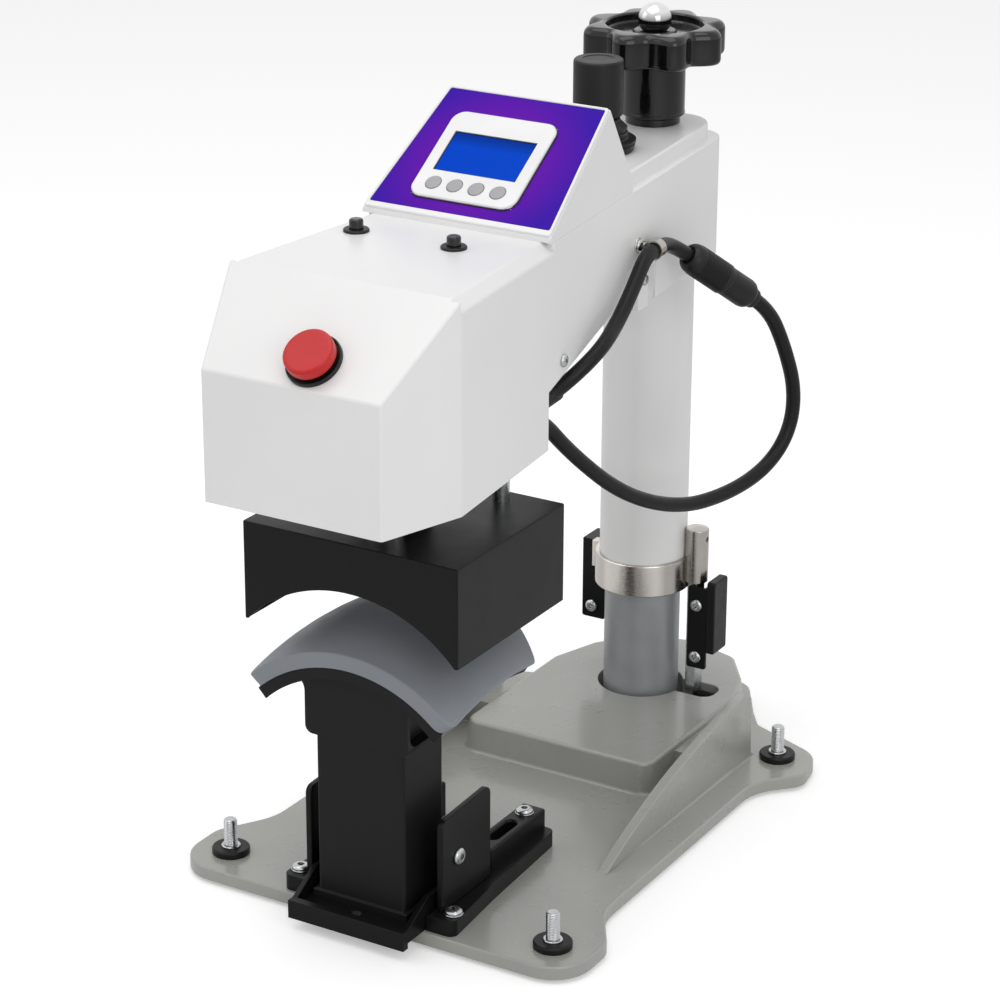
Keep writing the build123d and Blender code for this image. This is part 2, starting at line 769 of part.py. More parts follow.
with BuildPart() as head_shell:
    add(head_form(0.0, 0.0))
    add(head_form(sheet, 12.0), mode=Mode.SUBTRACT)
    with BuildSketch(Plane.XY.offset(arm_low - 5.0)):
        Circle(sleeve_r)
    extrude(amount=20.0, mode=Mode.SUBTRACT)
    with BuildSketch(slope_plane):
        with Locations((stop_x, stop_s)):
            Circle(stop_hole_r)
    extrude(amount=-10.0, mode=Mode.SUBTRACT)
    with BuildSketch(Plane.XY.offset(head_top - 5.0)):
        with Locations(*start_spots):
            Circle(start_barrel_r)
        with Locations((0.0, 0.0)):
            Circle(24.0)
    extrude(amount=10.0, mode=Mode.SUBTRACT)
    with BuildSketch(Plane.XZ.offset(-head_back_y + 5.0)):
        with Locations((inlet_x, inlet_z)):
            RectangleRounded(inlet_w, inlet_h, 3.0)
        with Locations(*gland_spots):
            Circle(gland_hole_r)
    extrude(amount=-10.0, mode=Mode.SUBTRACT)
    for screw_y, screw_z in [*flank_screws, (clip_screw_y, clip_screw_z)]:
        with BuildSketch(side_plane(screw_y, screw_z).offset(-5.0)):
            Circle(screw_r)
        extrude(amount=10.0, mode=Mode.SUBTRACT)
head_shell.part.label = "head_shell"
export_step(head_shell.part, "parts/head_shell.step")
print("head", head_shell.part.volume, len(head_shell.part.solids()), head_shell.part.bounding_box())

with BuildPart() as floor_panel:
    with BuildSketch(Plane.XY.offset(head_low)):
        Polygon(
            (-front_half, front_y),
            (front_half, front_y),
            (crease_half, crease_y),
            (side_half(head_back_y), head_back_y),
            (-side_half(head_back_y), head_back_y),
            (-crease_half, crease_y),
            align=None,
        )
        offset(amount=-sheet, kind=Kind.INTERSECTION)
    extrude(amount=sheet)
    with BuildSketch(Plane.XY.offset(head_low)):
        with Locations(*hanger_spots):
            Circle(3.0)
        with Locations((0.0, platen_mid_y)):
            Circle(8.0)
    extrude(amount=sheet, mode=Mode.SUBTRACT)
floor_panel.part.label = "floor_panel"
export_step(floor_panel.part, "parts/floor_panel.step")

with BuildPart() as platen_hangers:
    with BuildSketch(Plane.XY.offset(platen_top)):
        with Locations(*hanger_spots):
            Circle(hanger_r)
    extrude(amount=head_low - platen_top)
    with BuildSketch(Plane.XY.offset(platen_top)):
        with Locations(*hanger_spots):
            Circle(3.0)
    extrude(amount=head_low - platen_top + 8.0)
    with BuildSketch(Plane.XY.offset(head_low + sheet)):
        with Locations(*hanger_spots):
            RegularPolygon(radius=5.6, side_count=6)
    extrude(amount=5.0)
platen_hangers.part.label = "platen_hangers"
export_step(platen_hangers.part, "parts/platen_hangers.step")

# arm cap under the pressure knob
cap_inset = 5.0
cap_front_y = -138.0
cap_rear_y = arm_rear_y - 7.0
cap_wall = 2.5
reg_y = -92.0
reg_x = 4.0


def cap_outline(inset, height_z):
    """Plan outline of the raised cap."""
    with BuildSketch(Plane.XY.offset(height_z)) as plan:
        Polygon(
            (-side_half(cap_front_y, cap_inset + inset), cap_front_y + inset),
            (side_half(cap_front_y, cap_inset + inset), cap_front_y + inset),
            (side_half(cap_rear_y, cap_inset + inset), cap_rear_y - inset),
            (-side_half(cap_rear_y, cap_inset + inset), cap_rear_y - inset),
            align=None,
        )
        fillet(vertices().group_by(Axis.Y)[-1], radius=28.0 - inset)
    return plan.sketch


with BuildPart() as arm_cap:
    extrude(cap_outline(0.0, head_top), amount=cap_top - head_top)
    chamfer(edges().group_by(Axis.Z)[-1], length=1.0)
    extrude(cap_outline(cap_wall, head_top), amount=cap_top - head_top - cap_wall, mode=Mode.SUBTRACT)
    with Locations((0.0, 0.0, cap_top), (reg_x, reg_y, cap_top)):
        Hole(9.0)
arm_cap.part.label = "arm_cap"
export_step(arm_cap.part, "parts/arm_cap.step")
print("cap", arm_cap.part.volume, arm_cap.part.bounding_box())

# ---------------------------------------------------------------- console and its controls
panel_t = 1.6
panel_inset = 3.0
panel_foot = 5.5
panel_corner_r = 4.0
bezel_w = 84.0
bezel_low_s = 15.0
bezel_top_s = 95.0
bezel_x = -4.0
bezel_t = 2.4
bezel_r = 10.0
bezel_step = 2.0                 # flange of the bezel round its tub
tub_wall = 1.5
tub_depth = 6.0
lcd_w = 66.0
lcd_h = 37.0
lcd_s = 57.5
key_r = 6.0
key_s = 27.5
key_xs = (-30.3, -13.2, 3.9, 21.2)
key_gap = 0.1
key_flange_r = 7.0
key_travel = 0.8
key_proud = 0.8
bezel_h = bezel_top_s - bezel_low_s
bezel_s = (bezel_top_s + bezel_low_s) / 2
face_top_y = face_foot_y + face_len * cos(radians(face_tilt))
face_top_z = face_foot_z + face_len * sin(radians(face_tilt))
face_axis = Axis((0, 0, 0), tuple(face_plane.z_dir))


def console_form(grow, low_open):
    """Wedge of the console, or the space inside it when grow is the sheet thickness."""
    with BuildPart() as form:
        with BuildSketch(Plane.YZ.offset(-110.0)):
            Polygon(
                (face_foot_y, head_top - low_open),
                (face_foot_y, face_foot_z),
                (face_top_y, face_top_z),
                (console_back_y, console_back_z),
                (console_back_y, head_top - low_open),
                align=None,
            )
            offset(amount=-grow, kind=Kind.INTERSECTION)
        extrude(amount=220.0)
        with BuildSketch(Plane.XY.offset(head_top - 30.0)):
            Polygon(
                (-side_half(face_foot_y - 10.0, grow), face_foot_y - 10.0),
                (side_half(face_foot_y - 10.0, grow), face_foot_y - 10.0),
                (side_half(console_back_y + 10.0, grow), console_back_y + 10.0),
                (-side_half(console_back_y + 10.0, grow), console_back_y + 10.0),
                align=None,
            )
        extrude(amount=120.0, mode=Mode.INTERSECT)
    return form.part


with BuildPart() as console_housing:
    add(console_form(0.0, 0.0))
    add(console_form(sheet, 12.0), mode=Mode.SUBTRACT)
    with BuildSketch(face_plane):
        with Locations((bezel_x, bezel_s)):
            Rectangle(bezel_w - 2 * bezel_step, bezel_h - 2 * bezel_step)
    extrude(amount=-9.0, mode=Mode.SUBTRACT)
console_housing.part.label = "console_housing"
export_step(console_housing.part, "parts/console_housing.step")
print("console", console_housing.part.volume, console_housing.part.bounding_box())

with BuildPart() as face_plate:
    with BuildSketch(face_plane):
        Polygon(
            (-side_half(face_foot_y, panel_inset), panel_foot),
            (side_half(face_foot_y, panel_inset), panel_foot),
            (side_half(face_top_y, panel_inset), face_len - panel_inset),
            (-side_half(face_top_y, panel_inset), face_len - panel_inset),
            align=None,
        )
        fillet(vertices(), radius=panel_corner_r)
        with Locations((bezel_x, bezel_s)):
            Rectangle(bezel_w - 2 * bezel_step, bezel_h - 2 * bezel_step, mode=Mode.SUBTRACT)
    extrude(amount=panel_t)
face_plate.part.label = "face_plate"
export_step(face_plate.part, "parts/face_plate.step")

with BuildPart() as controller_bezel:
    with BuildSketch(face_plane.offset(panel_t)):
        with Locations((bezel_x, bezel_s)):
            RectangleRounded(bezel_w, bezel_h, bezel_r)
    extrude(amount=bezel_t)
    chamfer(faces().sort_by(face_axis)[-1].edges(), length=0.8)
    with BuildSketch(face_plane.offset(-tub_depth)):
        with Locations((bezel_x, bezel_s)):
            Rectangle(bezel_w - 2 * bezel_step, bezel_h - 2 * bezel_step)
            Rectangle(
                bezel_w - 2 * bezel_step - 2 * tub_wall,
                bezel_h - 2 * bezel_step - 2 * tub_wall,
                mode=Mode.SUBTRACT,
            )
    extrude(amount=tub_depth + panel_t)
    with BuildSketch(face_plane):
        with Locations((bezel_x, lcd_s)):
            Rectangle(lcd_w, lcd_h)
        with Locations(*[(kx, key_s) for kx in key_xs]):
            Circle(key_r + key_gap)
    extrude(amount=10.0, mode=Mode.SUBTRACT)
controller_bezel.part.label = "controller_bezel"
export_step(controller_bezel.part, "parts/controller_bezel.step")

with BuildPart() as display_window:
    with BuildSketch(face_plane.offset(panel_t)):
        with Locations((bezel_x, lcd_s)):
            Rectangle(lcd_w, lcd_h)
    extrude(amount=bezel_t - 0.4)
display_window.part.label = "display_window"
export_step(display_window.part, "parts/display_window.step")

board_t = 1.6
module_edge = 3.0
with BuildPart() as controller_board:
    with BuildSketch(face_plane.offset(-tub_depth - board_t)):
        with Locations((bezel_x, bezel_s)):
            Rectangle(bezel_w - 2 * bezel_step, bezel_h - 2 * bezel_step)
    extrude(amount=board_t)
    with BuildSketch(face_plane.offset(-tub_depth)):
        with Locations(*[(kx, key_s) for kx in key_xs]):
            Rectangle(6.0, 6.0)
    extrude(amount=tub_depth - key_travel + 0.3)
    with BuildSketch(face_plane.offset(-tub_depth)):
        with Locations((bezel_x, lcd_s)):
            Rectangle(lcd_w + 2 * module_edge, lcd_h + 2 * module_edge)
    extrude(amount=tub_depth + panel_t)
controller_board.part.label = "controller_board"
export_step(controller_board.part, "parts/controller_board.step")

for number, kx in enumerate(key_xs, start=1):
    with BuildPart() as key:
        with BuildSketch(face_plane.offset(0.4)):
            with Locations((kx, key_s)):
                Circle(key_flange_r)
        extrude(amount=1.0)
        with BuildSketch(face_plane.offset(0.4)):
            with Locations((kx, key_s)):
                Circle(key_r)
        extrude(amount=panel_t + bezel_t + key_proud - 0.4)
        fillet(edges().filter_by(GeomType.CIRCLE).sort_by(face_axis)[-1], radius=0.6)
    key.part.label = f"key_{number}"
    export_step(key.part, f"parts/key_{number}.step")

# ---------------------------------------------------------------- stop button
stop_ring_r = 19.5
stop_ring_h = 3.0
stop_cup_r = 18.0
stop_cap_r = 17.4
stop_cap_foot = 4.8
stop_cap_top = 13.0
stop_travel = 4.0
stop_stem_r = 7.0
stop_barrel_len = 32.0
stop_spot = (stop_x, stop_s)
slope_axis = Axis((0, 0, 0), tuple(slope_plane.z_dir))

with BuildPart() as stop_body:
    with BuildSketch(slope_plane):
        with Locations(stop_spot):
            Circle(stop_ring_r)
    extrude(amount=stop_ring_h)
    with BuildSketch(slope_plane.offset(0.6)):
        with Locations(stop_spot):
            Circle(stop_cup_r)
    extrude(amount=10.0, mode=Mode.SUBTRACT)
    with BuildSketch(slope_plane.offset(-stop_barrel_len)):
        with Locations(stop_spot):
            Circle(stop_hole_r)
    extrude(amount=stop_barrel_len)
    with BuildSketch(slope_plane.offset(-sheet - 6.0)):
        with Locations(stop_spot):
            RegularPolygon(radius=16.0, side_count=6)
    extrude(amount=6.0)
    with BuildSketch(slope_plane.offset(-stop_barrel_len + 6.0)):
        with Locations(stop_spot):
            Circle(stop_stem_r + fit)
    extrude(amount=60.0, mode=Mode.SUBTRACT)
stop_body.part.label = "stop_body"
export_step(stop_body.part, "parts/stop_body.step")

with BuildPart() as stop_cap:
    with BuildSketch(slope_plane.offset(stop_cap_foot)):
        with Locations(stop_spot):
            Circle(stop_cap_r)
    extrude(amount=stop_cap_top - stop_cap_foot)
    fillet(edges().filter_by(GeomType.CIRCLE).sort_by(slope_axis)[-1], radius=3.0)
    with BuildSketch(slope_plane.offset(-stop_barrel_len + 6.0 + stop_travel + 1.0)):
        with Locations(stop_spot):
            Circle(stop_stem_r)
    extrude(amount=stop_barrel_len - 11.0 + stop_cap_foot)
stop_cap.part.label = "stop_cap"
export_step(stop_cap.part, "parts/stop_cap.step")
print("stop", stop_cap.part.bounding_box(), len(stop_cap.part.solids()))

# ---------------------------------------------------------------- start buttons
start_flange_r = 9.0
start_flange_h = 2.0
start_cap_r = 5.0
start_cap_top = 9.0
start_travel = 2.5
start_depth = 24.0

with BuildPart() as start_bodies:
    with BuildSketch(Plane.XY.offset(head_top)):
        with Locations(*start_spots):
            Circle(start_flange_r)
    extrude(amount=start_flange_h)
    chamfer(edges().group_by(Axis.Z)[-1], length=0.6)
    with BuildSketch(Plane.XY.offset(head_top - start_depth)):
        with Locations(*start_spots):
            Circle(start_barrel_r)
    extrude(amount=start_depth)
    with BuildSketch(Plane.XY.offset(head_top - sheet - 4.0)):
        with Locations(*start_spots):
            RegularPolygon(radius=9.5, side_count=6)
    extrude(amount=4.0)
    with BuildSketch(Plane.XY.offset(head_top - start_depth + 5.0)):
        with Locations(*start_spots):
            Circle(start_cap_r + fit)
    extrude(amount=60.0, mode=Mode.SUBTRACT)
start_bodies.part.label = "start_bodies"
export_step(start_bodies.part, "parts/start_bodies.step")

for side_name, spot in (("left", start_spots[0]), ("right", start_spots[1])):
    with BuildPart() as start_cap:
        with BuildSketch(Plane.XY.offset(head_top - start_depth + 5.0 + start_travel + 1.0)):
            with Locations(spot):
                Circle(start_cap_r)
        extrude(amount=start_cap_top + start_depth - 6.0 - start_travel)
        fillet(edges().group_by(Axis.Z)[-1], radius=1.2)
    start_cap.part.label = f"start_cap_{side_name}"
    export_step(start_cap.part, f"parts/start_cap_{side_name}.step")

# ---------------------------------------------------------------- sliding sleeve on the column
sleeve_flange_r = 38.0
shoulder_r = 9.0
screw_thread_r = 6.0
with BuildPart() as outer_sleeve:
    with BuildSketch(Plane.XY.offset(sleeve_low)):
        Circle(sleeve_r)
        Circle(bush_r, mode=Mode.SUBTRACT)
    extrude(amount=sleeve_top - sleeve_low)
    with BuildSketch(Plane.XY.offset(sleeve_top)):
        Circle(sleeve_flange_r)
        Circle(screw_thread_r + fit, mode=Mode.SUBTRACT)
    extrude(amount=head_top - sheet - sleeve_top)
outer_sleeve.part.label = "outer_sleeve"
export_step(outer_sleeve.part, "parts/outer_sleeve.step")

with BuildPart() as slide_bushes:
    for bush_low in (sleeve_low, column_top - 6.0 - bush_h):
        with BuildSketch(Plane.XY.offset(bush_low)):
            Circle(bush_r)
            Circle(column_r + fit, mode=Mode.SUBTRACT)
        extrude(amount=bush_h)
slide_bushes.part.label = "slide_bushes"
export_step(slide_bushes.part, "parts/slide_bushes.step")

# pressure screw, nut, knob
nut_low = 362.0
nut_rod_top = 384.0
nut_screw_low = 392.0
nut_stem_top = 436.0
nut_top = 452.0
nut_stem_r = 14.0
nut_r = 24.0
screw_low = 402.0
hub_foot_r = 20.5
hub_foot_h = 6.0
hub_gap = 0.3
recess_r = 36.0
recess_depth = 7.0
lobe_count = 8
valley_r = 46.0

with BuildPart() as pressure_nut:
    with BuildSketch(Plane.XY.offset(nut_low)):
        Circle(nut_stem_r)
    extrude(amount=nut_top - nut_low)
    with BuildSketch(Plane.XY.offset(nut_stem_top)):
        Circle(nut_r)
    extrude(amount=nut_top - nut_stem_top)
    with BuildSketch(Plane.XY.offset(nut_low)):
        Circle(drive_rod_r + fit)
    extrude(amount=nut_rod_top - nut_low, mode=Mode.SUBTRACT)
    with BuildSketch(Plane.XY.offset(nut_screw_low)):
        Circle(screw_thread_r + fit)
    extrude(amount=100.0, mode=Mode.SUBTRACT)
pressure_nut.part.label = "pressure_nut"
export_step(pressure_nut.part, "parts/pressure_nut.step")

with BuildPart() as knob_hub:
    with BuildSketch(Plane.XY.offset(cap_top)):
        Circle(hub_foot_r)
    extrude(amount=hub_foot_h)
    with BuildSketch(Plane.XY.offset(cap_top + hub_foot_h)):
        Circle(hub_r)
    extrude(amount=knob_low - hub_gap - cap_top - hub_foot_h)
    chamfer(edges().group_by(Axis.Z)[-1], length=1.0)
    with BuildSketch(Plane.XY.offset(cap_top)):
        Circle(screw_thread_r + fit)
    extrude(amount=100.0, mode=Mode.SUBTRACT)
knob_hub.part.label = "knob_hub"
export_step(knob_hub.part, "parts/knob_hub.step")

screw_end = knob_low + 11.0
with BuildPart() as lead_screw:
    with BuildSketch(Plane.XY.offset(screw_low)):
        Circle(screw_thread_r)
    extrude(amount=screw_end - screw_low)
    with BuildSketch(Plane.XY.offset(sleeve_top - 0.1 - 6.0)):
        Circle(shoulder_r)
    extrude(amount=6.0)
lead_screw.part.label = "lead_screw"
export_step(lead_screw.part, "parts/lead_screw.step")

valley_cut_r = 15.0
with BuildPart() as star_knob:
    with BuildSketch(Plane.XY.offset(knob_low)):
        Circle(knob_r)
        with PolarLocations(valley_r + valley_cut_r, lobe_count, start_angle=180.0 / lobe_count):
            Circle(valley_cut_r, mode=Mode.SUBTRACT)
        fillet(vertices(), radius=6.0)
    extrude(amount=knob_top - knob_low)
    fillet(edges().group_by(Axis.Z)[-1], radius=4.0)
    fillet(edges().group_by(Axis.Z)[0], radius=3.0)
    with BuildSketch(Plane.XY.offset(knob_top - recess_depth)):
        Circle(recess_r)
    extrude(amount=recess_depth, mode=Mode.SUBTRACT)
    with BuildSketch(Plane.XY.offset(knob_low)):
        Circle(screw_thread_r)
    extrude(amount=screw_end - knob_low, mode=Mode.SUBTRACT)
    with Locations((0.0, 0.0, ball_z)):
        Sphere(ball_r, mode=Mode.SUBTRACT)
star_knob.part.label = "star_knob"
export_step(star_knob.part, "parts/star_knob.step")
print("knob", star_knob.part.volume, star_knob.part.bounding_box(), len(star_knob.part.solids()))

with BuildPart() as knob_ball:
    with Locations((0.0, 0.0, ball_z)):
        Sphere(ball_r)
knob_ball.part.label = "knob_ball"
export_step(knob_ball.part, "parts/knob_ball.step")

# ---------------------------------------------------------------- pressure regulator on the cap
reg_flange_r = 28.0
reg_flange_top = 505.0
reg_body_r = 22.0
reg_body_top = 520.0
reg_neck_r = 12.5
reg_neck_top = 545.0
reg_knob_r = 18.3
reg_knob_low = 522.0
reg_knob_top = 563.0

with BuildPart() as regulator_body:
    with BuildSketch(Plane.XY.offset(cap_top)):
        with Locations((reg_x, reg_y)):
            Circle(reg_flange_r)
    extrude(amount=reg_flange_top - cap_top)
    chamfer(edges().group_by(Axis.Z)[-1], length=1.2)
    with BuildSketch(Plane.XY.offset(reg_flange_top)):
        with Locations((reg_x, reg_y)):
            Circle(reg_body_r)
    extrude(amount=reg_body_top - reg_flange_top)
    chamfer(edges().group_by(Axis.Z)[-1], length=1.5)
    with BuildSketch(Plane.XY.offset(reg_body_top)):
        with Locations((reg_x, reg_y)):
            Circle(reg_neck_r)
    extrude(amount=reg_neck_top - reg_body_top)
    with BuildSketch(Plane.XY.offset(cap_top - 8.0)):
        with Locations((reg_x, reg_y)):
            Circle(9.0)
    extrude(amount=8.0)
regulator_body.part.label = "regulator_body"
export_step(regulator_body.part, "parts/regulator_body.step")

with BuildPart() as regulator_knob:
    with BuildSketch(Plane.XY.offset(reg_knob_low)):
        with Locations((reg_x, reg_y)):
            Circle(reg_knob_r)
    extrude(amount=reg_knob_top - reg_knob_low)
    fillet(edges().group_by(Axis.Z)[-1], radius=2.5)
    with BuildSketch(Plane.XY.offset(reg_knob_low)):
        with Locations((reg_x, reg_y)):
            Circle(reg_neck_r + fit)
    extrude(amount=reg_neck_top + 0.4 - reg_knob_low, mode=Mode.SUBTRACT)
regulator_knob.part.label = "regulator_knob"
export_step(regulator_knob.part, "parts/regulator_knob.step")

# ---------------------------------------------------------------- clamp ring, guide rod and brackets
boss_low = 130.0
spigot_r = 6.0
lug_x0 = -46.0
lug_x1 = -34.0
lug_y0 = 0.0
lug_y1 = 8.0
lug_low = 126.0
lug_top = 148.0
lip_r = column_r + 1.0

with BuildPart() as clamp_ring:
    with BuildSketch(Plane.XY.offset(collar_low)):
        Circle(collar_r)
    extrude(amount=collar_top - collar_low)
    fillet(edges().filter_by(GeomType.CIRCLE), radius=1.0)
    with BuildSketch(Plane.XY.offset(boss_low)):
        with Locations((rod_x, rod_y)):
            Circle(boss_r)
    extrude(amount=boss_top - boss_low)
    chamfer(edges().group_by(Axis.Z)[-1], length=0.8)
    with BuildSketch(Plane.XY.offset(boss_low)):
        with Locations((rod_x - boss_r, rod_y)):
            Rectangle(12.0, 14.0)
    extrude(amount=collar_top - boss_low - 1.5)
    with BuildSketch(Plane.XY.offset(lug_low)):
        with Locations(((lug_x0 + lug_x1) / 2, (lug_y0 + lug_y1) / 2)):
            Rectangle(lug_x1 - lug_x0, lug_y1 - lug_y0)
    extrude(amount=lug_top - lug_low)
    with BuildSketch(Plane.XY.offset(sleeve_low)):
        Circle(sleeve_r)
    extrude(amount=60.0, mode=Mode.SUBTRACT)
    with BuildSketch(Plane.XY.offset(collar_low)):
        Circle(lip_r)
    extrude(amount=10.0, mode=Mode.SUBTRACT)
    with BuildSketch(Plane.XY.offset(collar_low)):
        with Locations((rod_x, rod_y)):
            RegularPolygon(radius=rod_af / 2 + fit, side_count=6, major_radius=False, rotation=0)
    extrude(amount=boss_low - collar_low, mode=Mode.SUBTRACT)
    with BuildSketch(Plane.XY.offset(boss_low)):
        with Locations((rod_x, rod_y)):
            Circle(spigot_r)
    extrude(amount=rod_top - boss_low, mode=Mode.SUBTRACT)
    with BuildSketch(Plane.YZ.offset(rod_x + boss_r - 3.0)):
        with Locations((rod_y, boss_top - 8.0)):
            Circle(2.0)
    extrude(amount=5.0, mode=Mode.SUBTRACT)
clamp_ring.part.label = "clamp_ring"
export_step(clamp_ring.part, "parts/clamp_ring.step")
print("ring", clamp_ring.part.bounding_box(), len(clamp_ring.part.solids()))

with BuildPart() as guide_rod:
    with BuildSketch(Plane.XY.offset(rod_low)):
        with Locations((rod_x, rod_y)):
            RegularPolygon(radius=rod_af / 2, side_count=6, major_radius=False, rotation=0)
    extrude(amount=boss_low - rod_low)
    chamfer(edges().group_by(Axis.Z)[0], length=1.0)
    with BuildSketch(Plane.XY.offset(boss_low)):
        with Locations((rod_x, rod_y)):
            Circle(spigot_r)
    extrude(amount=rod_top - boss_low)
guide_rod.part.label = "guide_rod"
export_step(guide_rod.part, "parts/guide_rod.step")
print("rod", guide_rod.part.bounding_box())

rod_face_y = rod_y - rod_af / 2
angle_t = 3.0
angle_x0 = 41.0
angle_x1 = 57.5
angle_low = 59.0
angle_top = 128.0
leg_low = 73.0
leg_depth = 23.0
angle_screws_z = (113.0, 69.0)
angle_screw_x = 49.0
small_head_r = 5.2
small_head_h = 3.0
small_core_r = 2.0

with BuildPart() as stop_angle:
    with BuildSketch(Plane.XZ.offset(-rod_face_y)):
        with Locations(((angle_x0 + angle_x1) / 2, (angle_low + angle_top) / 2)):
            RectangleRounded(angle_x1 - angle_x0, angle_top - angle_low, 2.0)
    extrude(amount=angle_t)
    with BuildSketch(Plane.YZ.offset(angle_x1 - angle_t)):
        with Locations((rod_face_y - angle_t + leg_depth / 2, (leg_low + angle_top) / 2)):
            Rectangle(leg_depth, angle_top - leg_low)
    extrude(amount=angle_t)
    with BuildSketch(Plane.XZ.offset(-rod_face_y)):
        with Locations(*[(angle_screw_x, sz) for sz in angle_screws_z]):
            Circle(small_core_r)
    extrude(amount=angle_t, mode=Mode.SUBTRACT)
stop_angle.part.label = "stop_angle"
export_step(stop_angle.part, "parts/stop_angle.step")

pad_plate_t = 7.0
with BuildPart() as stop_pad:
    with BuildSketch(Plane.YZ.offset(angle_x1)):
        with Locations((rod_face_y - angle_t + leg_depth / 2, (leg_low + 134.0) / 2)):
            RectangleRounded(leg_depth, 134.0 - leg_low, 2.5)
    extrude(amount=pad_plate_t)
    chamfer(faces().sort_by(Axis.X)[-1].edges(), length=1.0)
stop_pad.part.label = "stop_pad"
export_step(stop_pad.part, "parts/stop_pad.step")

plate_x0 = -59.0
plate_x1 = -38.5
plate_low = 77.5
plate_high = 145.0
plate_thick = 2.5
plate_flange = 24.0
box_low = 80.0
box_top = 100.0
bracket_screw_z = 88.0
bracket_screw_x = -50.0
lug_screw_x = -43.0
lug_screw_z = 137.0

with BuildPart() as switch_bracket:
    with BuildSketch(Plane.XZ.offset(-lug_y1)):
        with Locations(((plate_x0 + plate_x1) / 2, (plate_low + plate_high) / 2)):
            RectangleRounded(plate_x1 - plate_x0, plate_high - plate_low, 2.0)
    extrude(amount=-plate_thick)
    with BuildSketch(Plane.XY.offset(plate_high - plate_thick)):
        with Locations(((plate_x0 + plate_x1) / 2, lug_y1 + plate_flange / 2)):
            Rectangle(plate_x1 - plate_x0, plate_flange)
    extrude(amount=plate_thick)
    with BuildSketch(Plane.XZ.offset(-lug_y1)):
        with Locations((bracket_screw_x, bracket_screw_z), (lug_screw_x, lug_screw_z)):
            Circle(small_core_r)
    extrude(amount=-plate_thick, mode=Mode.SUBTRACT)
switch_bracket.part.label = "switch_bracket"
export_step(switch_bracket.part, "parts/switch_bracket.step")
print("bracket", switch_bracket.part.bounding_box(), len(switch_bracket.part.solids()))

with BuildPart() as position_switch:
    with BuildSketch(Plane.XY.offset(box_low)):
        with Locations(((plate_x0 + plate_x1) / 2, lug_y1 + plate_thick + 6.5)):
            Rectangle(19.0, 13.0)
    extrude(amount=box_top - box_low)
    chamfer(edges().filter_by(Axis.Z), length=0.8)
    with BuildSketch(Plane.XY.offset(box_top)):
        with Locations((plate_x0 + 6.0, lug_y1 + plate_thick + 6.5), (plate_x1 - 6.0, lug_y1 + plate_thick + 6.5)):
            Rectangle(3.0, 0.8)
    extrude(amount=6.0)
    with BuildSketch(Plane.XZ.offset(-lug_y1 - plate_thick)):
        with Locations((bracket_screw_x, bracket_screw_z)):
            Circle(small_core_r)
    extrude(amount=-8.0, mode=Mode.SUBTRACT)
position_switch.part.label = "position_switch"
export_step(position_switch.part, "parts/position_switch.step")

with BuildPart() as bracket_screws:
    for sx, sz, face_y, reach in (
        (angle_screw_x, angle_screws_z[0], rod_face_y - angle_t, angle_t),
        (angle_screw_x, angle_screws_z[1], rod_face_y - angle_t, angle_t),
        (bracket_screw_x, bracket_screw_z, lug_y1, plate_thick + 8.0),
    ):
        with BuildSketch(Plane.XZ.offset(-face_y)):
            with Locations((sx, sz)):
                Circle(small_head_r)
        extrude(amount=small_head_h)
        with BuildSketch(Plane.XZ.offset(-face_y)):
            with Locations((sx, sz)):
                Circle(small_core_r)
        extrude(amount=-reach)

# ---------------------------------------------------------------- flank screws
flank_head_r = 4.8
flank_head_h = 3.0
with BuildPart() as flank_screws_right:
    for screw_y, screw_z in flank_screws:
        with BuildSketch(side_plane(screw_y, screw_z)):
            Circle(flank_head_r)
        extrude(amount=flank_head_h)
        fillet(edges(Select.LAST).filter_by(GeomType.CIRCLE).sort_by(Axis.X)[-1], radius=1.2)
        with BuildSketch(side_plane(screw_y, screw_z)):
            Circle(screw_r)
        extrude(amount=-sheet - 4.0)
        with BuildSketch(side_plane(screw_y, screw_z).offset(1.4)):
            RegularPolygon(radius=1.9, side_count=6)
        extrude(amount=5.0, mode=Mode.SUBTRACT)
print("flank", flank_screws_right.part.bounding_box(), len(flank_screws_right.part.solids()))

# ---------------------------------------------------------------- power parts inside the head
with BuildPart() as power_inlet:
    with BuildSketch(Plane.XZ.offset(-head_back_y)):
        with Locations((inlet_x, inlet_z)):
            RectangleRounded(inlet_w + 6.0, inlet_h + 5.0, 3.0)
    extrude(amount=-2.0)
    with BuildSketch(Plane.XZ.offset(-head_back_y)):
        with Locations((inlet_x, inlet_z)):
            RectangleRounded(inlet_w, inlet_h, 3.0)
    extrude(amount=24.0)
    with BuildSketch(Plane.XZ.offset(-head_back_y - 2.0)):
        with Locations((inlet_x, inlet_z)):
            RectangleRounded(inlet_w - 4.0, inlet_h - 4.0, 2.0)
    extrude(amount=18.0, mode=Mode.SUBTRACT)
power_inlet.part.label = "power_inlet"
export_step(power_inlet.part, "parts/power_inlet.step")
print("inlet", power_inlet.part.bounding_box(), len(power_inlet.part.solids()))

floor_z = head_low + sheet
supply_front_y = -470.0
supply_back_y = -412.0
supply_half = 36.0
supply_h = 46.0
with BuildPart() as power_supply:
    with BuildSketch(Plane.XY.offset(floor_z)):
        with Locations((0.0, (supply_front_y + supply_back_y) / 2)):
            Rectangle(2 * supply_half, supply_back_y - supply_front_y)
    extrude(amount=supply_h)
    chamfer(edges().filter_by(Axis.Z), length=3.0)

